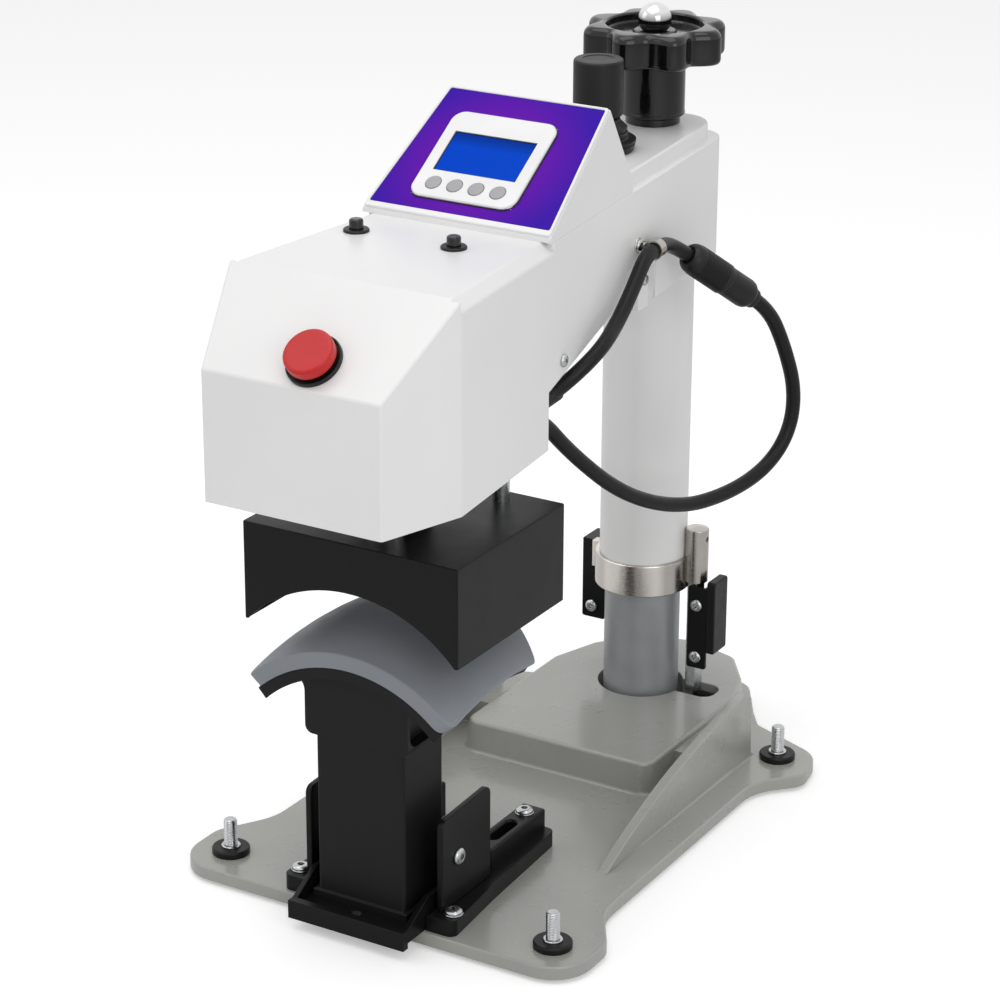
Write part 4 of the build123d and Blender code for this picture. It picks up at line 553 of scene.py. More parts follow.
def placed(origin: Sequence[float], normal: Spot = (0.0, 0.0, 1.0), across: Spot = (1.0, 0.0, 0.0)) -> Matrix:
    """Placement with its local Z along a normal and its local X near a direction.

    Args:
        origin: Where the local origin goes.
        normal: Direction of local Z.
        across: Direction that local X keeps nearest to.

    Returns:
        The placement.
    """
    z_axis = Vector(normal).normalized()
    x_axis = Vector(across)
    if abs(x_axis.normalized().dot(z_axis)) > 0.99:
        x_axis = Vector((0.0, 1.0, 0.0))
    x_axis = (x_axis - z_axis * x_axis.dot(z_axis)).normalized()
    matrix = Matrix((x_axis, z_axis.cross(x_axis), z_axis)).transposed().to_4x4()
    matrix.translation = Vector(origin)
    return matrix


def linked(name: str, data: bpy.types.ID) -> bpy.types.Object:
    """New object in the scene that holds the data."""
    thing = bpy.data.objects.new(name, data)
    bpy.context.scene.collection.objects.link(thing)
    return thing


class Shape:
    """Mesh under construction, in millimetres."""

    def __init__(self) -> None:
        """Starts an empty mesh with its layer of edge wear and painted highlight."""
        self.mesh = bmesh.new()
        self.wear_and_highlight = self.mesh.faces.layers.float.new("edge_wear_and_highlight")

    @classmethod
    def of_node(cls, node: str) -> "Shape":
        """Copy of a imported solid, with flat areas joined into whole faces.

        Args:
            node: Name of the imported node.

        Returns:
            The new shape.
        """
        shape = cls()
        shape.mesh.from_mesh(frame["nodes"][node].data)
        shape.wear_and_highlight = shape.mesh.faces.layers.float.new("edge_wear_and_highlight")
        bmesh.ops.scale(shape.mesh, vec=(1.0 / MM,) * 3, verts=shape.mesh.verts)
        bmesh.ops.remove_doubles(shape.mesh, verts=shape.mesh.verts, dist=0.004)
        bmesh.ops.dissolve_limit(shape.mesh, angle_limit=math.radians(0.4), verts=shape.mesh.verts,
                                 edges=shape.mesh.edges)
        return shape

    def loft(self, rings: Rings, place: Matrix | None = None, capped: bool = True) -> "Shape":
        """Skins rings of equally many points.

        Args:
            rings: Rings in order.
            place: Placement of the whole.
            capped: Whether the first and last rings are closed by faces.

        Returns:
            This shape.
        """
        matrix = place or Matrix()
        rows = [[self.mesh.verts.new(matrix @ point) for point in ring] for ring in rings]
        count = len(rows[0])
        for low, high in zip(rows, rows[1:]):
            for n in range(count):
                m = (n + 1) % count
                self.mesh.faces.new((low[n], low[m], high[m], high[n]))
        if capped:
            self.mesh.faces.new(rows[0][::-1])
            self.mesh.faces.new(rows[-1])
        return self

    def hoop(self, rings: Rings, place: Matrix | None = None) -> "Shape":
        """Skins rings and closes the last onto the first."""
        return self.loft([*rings, rings[0]], place, False)

    def lathe(self, profile: Sequence[Pair], place: Matrix | None = None, count: int = 64) -> "Shape":
        """Turns a profile of radius and height pairs round the local Z axis."""
        return self.loft([circle(r, z, count) for r, z in profile], place)

    def bevel(self, width: float, segments: int = 2, pick: EdgeTest | None = None, angle: float = 24.0,
              wear_and_highlight: float = 1.0, convex: bool = True) -> "Shape":
        """Rounds edges.

        Args:
            width: Distance from the edge at which the rounding starts.
            segments: Faces across the rounding.
            pick: Test of an edge's middle and direction; all sharp edges without it.
            angle: Least angle between the edge's faces in degrees.
            wear_and_highlight: Share of edge wear and painted highlight on the new faces.
            convex: Whether outer edges are rounded, or inner corners.

        Returns:
            This shape.
        """
        edges = []
        for edge in self.mesh.edges:
            sharp = len(edge.link_faces) == 2 and edge.calc_face_angle(0.0) >= math.radians(angle)
            if not sharp or edge.is_convex != convex:
                continue
            first, second = edge.verts[0].co, edge.verts[1].co
            if pick is None or pick((first + second) / 2.0, (second - first).normalized()):
                edges.append(edge)
        made = bmesh.ops.bevel(self.mesh, geom=edges, offset=width, offset_type="OFFSET", segments=segments,
                               profile=0.5, affect="EDGES", clamp_overlap=False, miter_outer="SHARP")
        # The new faces take a share of edge wear and painted highlight.
        for face in made["faces"]:
            face[self.wear_and_highlight] = wear_and_highlight
        return self

    def emit(self, name: str) -> bpy.types.Object:
        """Writes the mesh into a new object, in metres, smooth between its sharp edges.

        Args:
            name: Name of the object.

        Returns:
            The object.
        """
        bmesh.ops.recalc_face_normals(self.mesh, faces=self.mesh.faces)
        bmesh.ops.scale(self.mesh, vec=(MM,) * 3, verts=self.mesh.verts)
        for face in self.mesh.faces:
            face.smooth = True
        data = bpy.data.meshes.new(name)
        self.mesh.to_mesh(data)
        self.mesh.free()
        data.set_sharp_from_angle(angle=SMOOTH_ANGLE)
        thing = linked(name, data)
        thing.modifiers.new("weighted_normals", "WEIGHTED_NORMAL").keep_sharp = True
        return thing


@dataclass
class Assembly:
    """Sub-assembly of the press."""

    palette: Palette

    home = Body.HEAD

    def take(self, shape: Shape | bpy.types.Object, name: str, slot: str, *nodes: str,
             body: Body | None = None) -> bpy.types.Object:
        """Finishes one piece.

        Args:
            shape: The mesh under construction, or a curve object.
            name: Name of the piece.
            slot: Material slot of the record that its finish comes from.
            *nodes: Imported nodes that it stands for.
            body: Body that it rides on; the assembly's own without it.

        Returns:
            The piece.
        """
        thing = shape.emit(name) if isinstance(shape, Shape) else shape
        thing.data.materials.clear()
        thing.data.materials.append(self.palette.get(slot))
        carrier = (body or self.home).value
        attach(thing, carrier)
        if nodes:
            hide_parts(*nodes)
        log.info("%s rides on %s in %s", name, carrier, slot)
        return thing

    def rounded(self, node: str, name: str, slot: str, width: float, segments: int = 2,
                pick: EdgeTest | None = None, angle: float = 24.0, wear_and_highlight: float = 1.0) -> None:
        """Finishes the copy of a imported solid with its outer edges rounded."""
        self.take(Shape.of_node(node).bevel(width, segments, pick, angle, wear_and_highlight), name, slot, node)


# ------------------------------------------------------------------ studio
@dataclass
class Studio:
    """Camera, floor, lamps and surroundings; lamps and floor in metres."""

    camera_spot: Spot = (1098.74, -2068.97, 1100.3)
    yaw: float = 30.818
    pitch: float = -21.350
    roll: float = 0.218
    focal_px: float = 3202.84
    principal_px: Pair = (495.886, 506.171)
    image_px: float = 1000.0
    sensor: float = 36.0
    ambient: float = 0.52
    floor_reach: float = 12.0
    floor_lift: float = 0.36
    covered_spot: Spot = (0.012, 0.03, 0.0)
    covered_radius: float = 0.058
    lamp_aim: Spot = (0.0, -0.22, 0.28)
    lamp_rows: Sequence[tuple[str, Spot, float, float]] = (
        ("top", (-0.2, -0.5, 2.6), 2.2, 23.0),
        ("left", (-2.3, -1.4, 1.5), 1.6, 5.0),
        ("right", (2.0, -1.7, 1.3), 1.6, 13.0),
    )

    def build(self) -> None:
        """Builds the whole studio."""
        self.camera()
        self.surroundings()
        self.floor()
        self.lamps()
        log.info("studio built")

    def camera(self) -> None:
        """Creates the camera at its calibrated place."""
        data = bpy.data.cameras.new("camera")
        data.sensor_fit = "HORIZONTAL"
        data.sensor_width = self.sensor
        data.lens = self.focal_px / self.image_px * self.sensor
        data.shift_x = (self.image_px / 2 - self.principal_px[0]) / self.image_px
        data.shift_y = (self.principal_px[1] - self.image_px / 2) / self.image_px
        data.clip_start, data.clip_end = 0.05, 60.0
        thing = linked("camera", data)
        yaw, pitch, roll = (math.radians(a) for a in (self.yaw, self.pitch, self.roll))
        look = Vector((-math.sin(yaw) * math.cos(pitch), math.cos(yaw) * math.cos(pitch), math.sin(pitch)))
        level = Vector((math.cos(yaw), math.sin(yaw), 0.0))
        rise = level.cross(look)
        right = level * math.cos(roll) + rise * math.sin(roll)
        up = rise * math.cos(roll) - level * math.sin(roll)
        matrix = Matrix((right, up, -look)).transposed().to_4x4()
        matrix.translation = Vector(self.camera_spot) * MM
        thing.matrix_world = matrix
        bpy.context.scene.camera = thing

    def surroundings(self) -> None:
        """White surroundings for the eye and for reflections, softer for the light they give."""
        world = bpy.data.worlds.new("surroundings")
        bpy.context.scene.world = world
        world.use_nodes = True
        nodes = Nodes(world.node_tree)
        ray = nodes.add("ShaderNodeLightPath").outputs
        seen = nodes.math("MAXIMUM", ray["Is Camera Ray"], ray["Is Glossy Ray"])
        seen = nodes.math("MAXIMUM", seen, ray["Is Transmission Ray"])
        soft, white = (
            nodes.add("ShaderNodeBackground", {"Color": (1.0, 1.0, 1.0), "Strength": strength}).outputs[0]
            for strength in (self.ambient, 1.0)
        )
        mix = nodes.add("ShaderNodeMixShader", {0: seen, 1: soft, 2: white})
        nodes.add("ShaderNodeOutputWorld", {0: mix.outputs[0]})

    def floor(self) -> None:
        """Plain white floor that keeps a soft shadow, lifted but where the casting covers it."""
        data = bpy.data.meshes.new("floor")
        r = self.floor_reach
        data.from_pydata([(-r, -r, 0.0), (r, -r, 0.0), (r, r, 0.0), (-r, r, 0.0)], [], [(0, 1, 2, 3)])
        graph = Graph("floor_white")
        spots = {0: graph.place, 1: self.covered_spot}
        away = graph.add("ShaderNodeVectorMath", spots, operation="DISTANCE").outputs["Value"]
        bare = graph.math("GREATER_THAN", away, self.covered_radius)
        seen = graph.math("MULTIPLY", graph.add("ShaderNodeLightPath").outputs["Is Camera Ray"], bare)
        lift = graph.math("MULTIPLY", seen, self.floor_lift)
        diffuse = graph.add("ShaderNodeBsdfDiffuse", {"Color": (0.90, 0.90, 0.90)})
        glow = graph.add("ShaderNodeEmission", {"Color": (1.0, 1.0, 1.0), "Strength": lift})
        total = graph.add("ShaderNodeAddShader", {0: diffuse.outputs[0], 1: glow.outputs[0]})
        graph.put(graph.output.inputs[0], total.outputs[0])
        graph.tree.nodes.remove(graph.shader)
        data.materials.append(graph.material)
        linked("floor", data)

    def lamps(self) -> None:
        """Soft boxes above and at both sides."""
        for name, spot, size, watts in self.lamp_rows:
            data = bpy.data.lights.new(name, "AREA")
            data.shape = "SQUARE"
            data.size = size
            data.energy = watts
            thing = linked(f"lamp_{name}", data)
            thing.location = spot
            aim = Vector(self.lamp_aim) - Vector(spot)
            thing.rotation_euler = aim.to_track_quat("-Z", "Y").to_euler()
        bpy.context.scene.view_settings.view_transform = "Standard"


# ------------------------------------------------------------------ heater lead
@dataclass
class HeaterLead(Assembly):
    """Heater lead in two stretches from gland to gland, with the connector between them."""

    radius: float = 5.5
    upper: Sequence[Spot] = (
        (62.0, -273.0, 367.0), (62.0, -251.0, 367.0), (80.5, -224.0, 391.0), (74.5, -186.0, 402.0),
        (72.0, -159.0, 420.0), (69.4, -137.0, 437.0), (67.2, -112.0, 438.0),
    )
    lower: Sequence[Spot] = (
        (114.0, 4.0, 337.0), (118.5, 16.0, 300.0), (116.5, 14.0, 267.0), (109.0, -7.0, 243.0),
        (97.0, -46.0, 232.0), (82.0, -98.0, 234.0), (66.0, -158.0, 261.0), (53.0, -214.0, 309.0),
        (44.0, -248.0, 348.0), (44.0, -273.0, 348.0),
    )
    plug_start: Spot = (71.0, -74.5, 422.0)
    plug_end: Spot = (100.0, -21.5, 378.5)
    upper_length: float = 227.0
    lower_length: float = 468.2
    wall: float = -282.0
    sleeve_seat: float = -273.6
    upper_gland: Pair = (62.0, 367.0)
    lower_gland: Pair = (44.0, 348.0)
    ribs_from: float = 9.0
    rib_count: int = 18
    rib_pitch: float = 1.5

    def strand(self, name: str, points: Sequence[Sequence[float]]) -> bpy.types.Object:
        """One stretch of the lead as a smooth round curve.

        Args:
            name: Name of the stretch.
            points: Its route.

        Returns:
            The curve object.
        """
        data = bpy.data.curves.new(name, "CURVE")
        data.dimensions = "3D"
        data.bevel_depth = self.radius * MM
        data.bevel_resolution = 8
        data.resolution_u = 12
        data.use_fill_caps = True
        spline = data.splines.new("NURBS")
        spline.points.add(len(points) - 1)
        for spot, place in zip(spline.points, points):
            spot.co = (*(part * MM for part in place), 1.0)
        spline.order_u = 3
        spline.use_endpoint_u = True
        return linked(name, data)

    def connector(self) -> list[bpy.types.Object]:
        """The two halves of the connector: a ribbed plug and a smooth socket.

        Returns:
            Plug and socket.
        """
        start, end = Vector(self.plug_start), Vector(self.plug_end)
        place = placed(start, tuple((end - start).normalized()), (0.0, 0.0, 1.0))
        ribs: list[Pair] = [(6.2, 3.0), (6.4, 0.6), (7.4, 0.0), (8.6, 0.5), (10.2, 2.2), (11.2, 4.4),
                            (11.6, 6.6)]
        for n in range(self.rib_count):
            base = self.ribs_from + n * self.rib_pitch
            ribs += [(11.95, base), (11.95, base + 0.75), (11.6, base + 0.95), (11.6, base + 1.35)]
        ribs += [(11.95, 36.4), (11.95, 39.2), (11.5, 40.0), (10.4, 40.0)]
        plug = self.take(Shape().lathe(ribs, place, 72), "connector_plug", "black_plastic", "lead_plug")
        shell = rounded_path([
            (10.2, 40.1), (10.9, 40.1), (11.2, 40.6), (11.2, 43.0), (10.9, 43.6), (11.15, 44.4),
            (11.2, 56.0), (11.2, 62.5), (10.6, 65.6), (9.4, 67.6), (8.2, 68.6), (7.8, 69.4), (7.8, 71.4),
            (7.3, 73.4), (6.5, 74.3), (6.0, 74.3),
        ], 0.25, False, 3)
        half = Shape().lathe(shell, place, 72)
        socket = self.take(half, "connector_socket", "black_plastic", "lead_socket")
        return [plug, socket]

    def glands(self) -> list[bpy.types.Object]:
        """Two hexagon glands on the head's rear wall, each with its tapered sleeve.

        Returns:
            The sleeves of the upper and the lower stretch.
        """
        barrel = [(7.4, 4.2), (7.4, 5.4), (7.6, 5.8), (7.6, 7.8), (6.4, 9.0), (5.6, 9.0)]
        rings = [hexagon(14.8, 0.0), hexagon(15.4, 0.5), hexagon(15.4, 3.6)]
        rings += [circle(r, z, 48) for r, z in barrel]
        nuts = Shape()
        for x, z in (self.upper_gland, self.lower_gland):
            nuts.loft(rings, placed((x, self.wall, z), (0.0, 1.0, 0.0)))
        self.take(nuts, "lead_gland_nuts", "black_plastic", "lead_gland")
        taper: list[Pair] = [(7.2, 0.0)]
        for n in range(8):
            r, base = 7.1 - 0.14 * n, 1.0 + 2.8 * n
            taper += [(r, base), (r, base + 1.6), (r - 0.55, base + 1.9), (r - 0.55, base + 2.5)]
        taper += [(5.9, 23.6), (5.6, 24.0)]
        sleeves = []
        for name, (x, z) in (("gland_sleeve", self.upper_gland), ("return_sleeve", self.lower_gland)):
            place = placed((x, self.sleeve_seat, z), (0.0, 1.0, 0.0))
            sleeves.append(self.take(Shape().lathe(taper, place, 40), name, "black_rubber"))
        return sleeves

    def build(self) -> None:
        """Builds the lead and the pieces on it."""
        start, end = Vector(self.plug_start), Vector(self.plug_end)
        along = (end - start).normalized()
        upper_route = [*self.upper, start - along * 18.0, start + along * 3.0]
        lower_route = [end - along, end + along * 17.0, *self.lower]
        upper = self.take(self.strand("lead_upper", upper_route), "lead_upper", "black_rubber", "heater_lead")
        lower = self.take(self.strand("lead_lower", lower_route), "lead_lower", "black_rubber")
        connector = self.connector()
        upper_sleeve, lower_sleeve = self.glands()


# ------------------------------------------------------------------ fasteners
@dataclass
class SocketScrew:
    """Screw with a domed head and a hexagon socket."""

    head: float = 5.1
    height: float = 3.0
    socket: float = 3.6
    depth: float = 2.5
    washer: float = 0.0

    def add_to(self, shape: Shape, place: Matrix, base: float = 0.0) -> None:
        """Adds the screw's head to a shape.

        Args:
            shape: Shape that takes the head.
            place: Placement with its local Z out of the surface.
            base: Height of the head's seat.
        """
        r, h, s = self.head, self.height, self.socket
        if self.washer:
            w = self.washer
            rim = [(w - 0.3, 0.0), (w, 0.3), (w, 0.8), (w - 0.3, 1.1), (r * 0.6, 1.1)]
            shape.lathe([(radius, base + z) for radius, z in rim], place, 48)
            base += 1.1
            h -= 1.1
        profile = [(r * 0.94, 0.0), (r, 0.12 * h), (r, 0.32 * h)]
        for n in range(1, 7):
            angle = math.pi / 2 * n / 7
            profile.append((s * 0.62 + (r - s * 0.62) * math.cos(angle), h * (0.32 + 0.68 * math.sin(angle))))
        rings = [circle(radius, base + z, 48) for radius, z in (*profile, (s * 0.60, h))]
        rings += [hexagon(s, base + h - 0.12), hexagon(s * 0.98, base + h - self.depth),
                  circle(s * 0.2, base + h - self.depth - 0.4, 48)]
        shape.loft(rings, place)


@dataclass
class Feet(Assembly):
    """Levelling feet: rubber pad below, disc above and a threaded stud with its collar."""

    plate_top: float = 13.0
    pad: Pair = (12.0, 3.0)
    disc: Pair = (14.0, 5.0)
    collar: Pair = (7.0, 1.6)
    thread: float = 4.4
    crest: float = 0.58
    pitch: float = 1.25
    top: float = 40.0

    home = Body.BASE

    def stud(self) -> list[list[Vector]]:
        """Rings of one threaded stud with its collar.

        Returns:
            The rings, from below.
        """
        count, steps = 36, 8
        seat = self.plate_top + self.disc[1]
        r, low, high = self.collar[0], seat + self.collar[1], self.top - 0.8
        foot = [(4.88, 1.0), (4.88, seat), (r - 0.3, seat), (r, seat + 0.3), (r, low - 0.5), (r - 0.5, low)]
        rings = [circle(radius, z, count) for radius, z in foot]
        rows = round((high - low) / self.pitch * steps)
        for row in range(rows + 1):
            z = low + (high - low) * row / rows
            fade = min(1.0, (self.top - z) / 1.6, (z - low) / 0.8 + 0.2)
            ring = []
            for n in range(count):
                angle = 2.0 * math.pi * n / count
                phase = (z / self.pitch - n / count) % 1.0
                rise = min(1.0, (1.0 - abs(2.0 * phase - 1.0)) * 1.25)
                radius = self.thread + self.crest * rise * fade
                ring.append(Vector((radius * math.cos(angle), radius * math.sin(angle), z)))
            rings.append(ring)
        return rings + [circle(4.2, self.top - 0.3, count), circle(3.7, self.top, count)]

    def build(self) -> None:
        """Builds the studs and the rubber of all four feet."""
        studs, rubber, rings = Shape(), Shape(), self.stud()
        r, h = self.disc
        rim = rounded_path([(4.93, 0.0), (r - 0.2, 0.0), (r, h), (4.93, h)], [0.0, 0.4, 1.5, 0.0], False)
        r, h = self.pad
        foot = rounded_path([(2.0, 0.0), (r, 0.0), (r - 0.3, h), (2.0, h)], [0.0, 0.6, 0.2, 0.0], False)
        for x in (-FOOT_X, FOOT_X):
            for y in FOOT_ROWS:
                studs.loft(rings, placed((x, y, 0.0)))
                rubber.lathe(rim, placed((x, y, self.plate_top))).lathe(foot, placed((x, y, 0.0)))
        self.take(studs, "levelling_studs", "zinc_steel", "foot_studs")
        self.take(rubber, "levelling_rubbers", "black_rubber", "foot_rubbers")


# ------------------------------------------------------------------ base
@dataclass
class Base(Assembly):
    """Casting, column, rails and their screws."""

    plate: Pair = (3.0, 13.0)
    pedestal_top: float = 38.0
    rib: Pair = (103.0, 121.0)
    column: float = 29.8
    column_bore: float = 25.8
    column_ends: Pair = (3.2, 432.0)
    bolts: Sequence[Spot] = ((64.0, -390.0, 25.0), (42.5, -256.0, 40.0))
    guide_out: float = 57.0
    guide_screw: Pair = (-372.0, 60.0)

    home = Body.BASE

    def level(self, at: Vector, aim: Vector, height: float) -> bool:
        """Whether a level edge lies at a height, away from the bolt holes.

        Args:
            at: Middle of the edge.
            aim: Direction of the edge.
            height: The height.

        Returns:
            Whether it does.
        """
        holes = [(FOOT_X, y) for y in FOOT_ROWS] + [(x, y) for x, y, _ in self.bolts]
        away = min(math.hypot(abs(at.x) - x, at.y - y) for x, y in holes)
        return abs(at.z - height) < 0.02 and abs(aim.z) < 0.02 and away >= 7.0

    def keyhole(self, at: Vector) -> bool:
        """Whether a point lies near the opening round the column and the rod."""
        return math.hypot(at.x, at.y) < 36.5 or (25.0 < at.x < 68.0 and -8.0 < at.y < 22.0)

    def casting(self) -> None:
        """The grey casting with its rounded edges and blends."""
        low, high = self.plate
        top, (rib_in, rib_out) = self.pedestal_top, self.rib
        shape = Shape.of_node("base_casting")
        # The rounded edges take a share of wear and painted highlight; the inner blends take none.
        shape.bevel(2.7, 5, lambda at, aim: self.level(at, aim, top) and not self.keyhole(at), wear_and_highlight=0.6)
        shape.bevel(2.5, 4, lambda at, aim: self.level(at, aim, high), wear_and_highlight=0.0, convex=False)
        shape.bevel(0.9, 2, lambda at, aim: self.level(at, aim, top) and self.keyhole(at))
        shape.bevel(1.1, 3, lambda at, aim: at.z > high + 1.0 and abs(aim.x) < 0.05 and
                    rib_in < abs(at.x) < rib_out)
        shape.bevel(1.4, 3, lambda at, aim: self.level(at, aim, high))
        shape.bevel(0.8, 2, lambda at, aim: self.level(at, aim, low))
        self.take(shape, "cast_base", "grey_enamel", "base_casting")

    def rails(self) -> None:
        """Slotted rails, guide plates and their screws."""
        y, z = self.guide_screw
        self.rounded("rails", "slotted_rails", "black_enamel", 0.5, 2, lambda at, aim: at.z > 14.0)
        self.rounded("guide_plates", "upright_guides", "black_enamel", 1.1, 3,
                     lambda at, aim: math.hypot(at.y - y, at.z - z) > 4.0)
        screws = Shape()
        for side in (-1.0, 1.0):
            for x, bolt_y, seat in self.bolts:
                place = placed((side * x, bolt_y, seat))
                SocketScrew(6.4, 4.2, 4.6, 2.8, washer=6.9).add_to(screws, place)
                screws.lathe([(2.45, -seat + 4.5), (2.45, 0.0)], place, 24)
            outer = placed((side * self.guide_out, y, z), (side, 0.0, 0.0))
            SocketScrew(6.3, 3.4, 4.4, 2.9).add_to(screws, outer)
            inner = placed((side * (self.guide_out - 5.0), y, z), (-side, 0.0, 0.0))
            screws.lathe([(3.9, 0.0), (4.0, 0.3), (4.0, 1.6), (3.4, 2.0)], inner, 32)
        self.take(screws, "rail_fasteners", "zinc_steel", "rail_screws")

    def build(self) -> None:
        """Builds the fixed pieces."""
        self.casting()
        self.rails()
        low, high = self.column_ends
        r, bore = self.column, self.column_bore
        wall = [(r, low), (r, high - 0.8), (r - 0.8, high), (bore, high), (bore, 12.5), (bore, low)]
        tube = Shape().hoop([circle(radius, z, 128) for radius, z in wall])
        self.take(tube, "column", "column_steel", "column_tube")


# ------------------------------------------------------------------ sled
@dataclass
class Sled(Assembly):
    """Tray and post that slide to the front."""

    home = Body.SLED

    def build(self) -> None:
        """Builds the sliding pieces of metal."""
        self.rounded("sled_tray", "tray", "black_enamel", 0.55, 3, lambda at, aim: at.z > 21.0, 40.0)
        self.rounded("platen_post", "post", "black_anodised", 0.6, 2, lambda at, aim: 21.0 < at.z < 147.0)


@dataclass
class Pad(Assembly):
    """Crowned silicone pad on the lower platen."""

    radius: float = 119.0
    thickness: float = 11.0
    top: float = 228.0
    middle: float = -350.0
    centre: float = -352.0
    crown: float = 300.0
    front: float = -424.0
    half: float = 83.0
    back_radius: float = 120.0
    back_centre: float = -398.0
    corner: float = 8.0
    edge: float = 1.4

    home = Body.SLED

    def height(self, x: float, y: float, depth: float) -> float:
        """Height of the face that lies a depth under the working face."""
        across = (self.crown - self.radius) + math.sqrt(max((self.radius - depth) ** 2 - x * x, 0.0))
        return self.top - self.crown + math.sqrt(max(across ** 2 - (y - self.middle) ** 2, 0.0))

    def outline(self) -> list[Pair]:
        """Plan outline: straight front, straight sides, round back.

        Returns:
            Points about 3 mm apart.
        """
        start = math.asin(self.half / self.back_radius)
        side_end = self.back_centre + math.sqrt(self.back_radius ** 2 - self.half ** 2)
        corners = [(-self.half, self.front), (self.half, self.front), (self.half, side_end)]
        count, r = 26, self.back_radius
        for n in range(1, count):
            angle = start - 2.0 * start * n / count
            corners.append((r * math.sin(angle), self.back_centre + r * math.cos(angle)))
        corners.append((-self.half, side_end))
        radii = [self.corner] * 3 + [0.0] * (count - 1) + [self.corner]
        rough = rounded_path(corners, radii, True, 6)
        fine: list[Pair] = []
        for (x, y), (next_x, next_y) in zip(rough, rough[1:] + rough[:1]):
            parts = max(1, round(math.hypot(next_x - x, next_y - y) / 3.0))
            fine += [(x + (next_x - x) * n / parts, y + (next_y - y) * n / parts) for n in range(parts)]
        return fine

    def ring(self, inset: float, share: float, depth: float, drop: float) -> list[Vector]:
        """Ring of points on a face of the pad.

        Args:
            inset: Distance inside the outline.
            share: Share of the way from the centre.
            depth: Depth of the face under the working face.
            drop: Distance below that face.

        Returns:
            The ring.
        """
        made = []
        for x, y in self.outline():
            away = Vector((x, y - self.centre))
            away *= (1.0 - inset / away.length) * share
            px, py = away.x * (self.radius - depth) / self.radius, self.centre + away.y
            made.append(Vector((px, py, self.height(px, py, depth) - drop)))
        return made

    def build(self) -> None:
        """Builds the pad."""
        e, t = self.edge, self.thickness
        shares = [0.97, 0.9, 0.8, 0.68, 0.55, 0.42, 0.3, 0.18, 0.08, 0.02]
        rings = [self.ring(0.8, share, t, 0.0) for share in shares[::-1]]
        rings += [self.ring(0.8, 1.0, t, 0.0), self.ring(0.2, 1.0, t, -0.25), self.ring(0.0, 1.0, t, -0.8),
                  self.ring(0.0, 1.0, 0.0, e)]
        for n in range(1, 5):
            angle = math.pi / 2 * n / 4
            rings.append(self.ring(e * (1 - math.cos(angle)), 1.0, 0.0, e * (1 - math.sin(angle))))
        rings += [self.ring(e, share, 0.0, 0.0) for share in shares]
        pad = self.take(Shape().loft(rings), "working_pad", "grey_silicone", "silicone_pad")


# ------------------------------------------------------------------ head
@dataclass
class HeatedPlaten(Assembly):
    """Cover, terminal box and hangers under the head."""

    ends: Pair = (-419.0, -278.6)

    def build(self) -> None:
        """Builds the platen."""
        front, rear = self.ends
        cover = Shape.of_node("platen_cover").bevel(1.1, 3, lambda at, aim: at.z > 298.5)
        cover.bevel(0.6, 2, lambda at, aim: at.z < 290.0 and abs(aim.y) < 0.9 and not front <= at.y <= rear)
        self.take(cover, "hood_of_platen", "black_enamel", "platen_cover")
        self.rounded("terminal_box", "junction_box", "black_plastic", 0.6, 2,
                     lambda at, aim: at.z < 326.0, 50.0)
        self.rounded("platen_hangers", "hangers", "zinc_steel", 0.4, 2, lambda at, aim: at.z > 339.5, 50.0)


@dataclass
class Head(Assembly):
    """Folded sheet head, arm, cap, console and saddle."""

    front: float = -484.5
    crease: float = -420.0
    top: float = 484.0
    slope_low: float = 429.0
    low: float = 337.0
    half: float = 89.5
    front_half: float = 69.0
    taper: float = 0.105
    stop: Spot = (9.0, -468.14, 442.95)

    def outer(self, at: Vector) -> bool:
        """Whether a point lies on the outer faces of the head's sheet.

        Args:
            at: The point.

        Returns:
            Whether it does.
        """
        behind, run = at.y - self.crease, self.crease - self.front
        share = 1.0 + behind / run
        height = self.slope_low + share * (self.top - self.slope_low)
        narrowing = self.taper if behind > 0.0 else -(self.half - self.front_half) / run
        on_slope = 0.0 <= share <= 1.0 and abs(at.z - height) < 0.3
        on_side = abs(at.x) > self.half - narrowing * behind - 0.6
        return on_side or on_slope or at.y < self.front + 0.3 or at.z > self.top - 0.3

    def hole(self, at: Vector) -> bool:
        """Whether a point lies on the rim of an opening in the sheet.

        Args:
            at: The point.

        Returns:
            Whether it does.
        """
        start = at.z > 480.0 and any(math.hypot(at.x - x, at.y - y) < 8.0 for x, y in START_SPOTS)
        flank = any(math.hypot(at.y - y, at.z - z) < 3.5 for y, z in ((-260.0, 395.0), (-130.0, 441.5)))
        return start or flank or math.hypot(at.x, at.y) < 40.0 or (at - Vector(self.stop)).length < 13.0

    def fold(self, at: Vector, _: Vector) -> bool:
        """Whether an edge at a point is a fold of the sheet."""
        return self.outer(at) and at.z > self.low + 0.5 and not self.hole(at)

    def build(self) -> None:
        """Builds the head's sheet pieces."""
        x, y = REGULATOR_SPOT
        self.rounded("head_shell", "folded_head", "white_enamel", 1.6, 4, self.fold, 12.0, 0.6)
        self.rounded("arm_cap", "raised_cap", "white_enamel", 1.2, 3, lambda at, aim: at.z > 490.0 and min(
            math.hypot(at.x, at.y), math.hypot(at.x - x, at.y - y)) > 12.0, 20.0)
        self.rounded("console_housing", "console", "white_enamel", 1.2, 3,
                     lambda at, aim: at.z > 486.0, wear_and_highlight=0.5)
        self.rounded("saddle_block", "saddle", "white_enamel", 0.8, 2, lambda at, aim: abs(at.x) < 55.0)


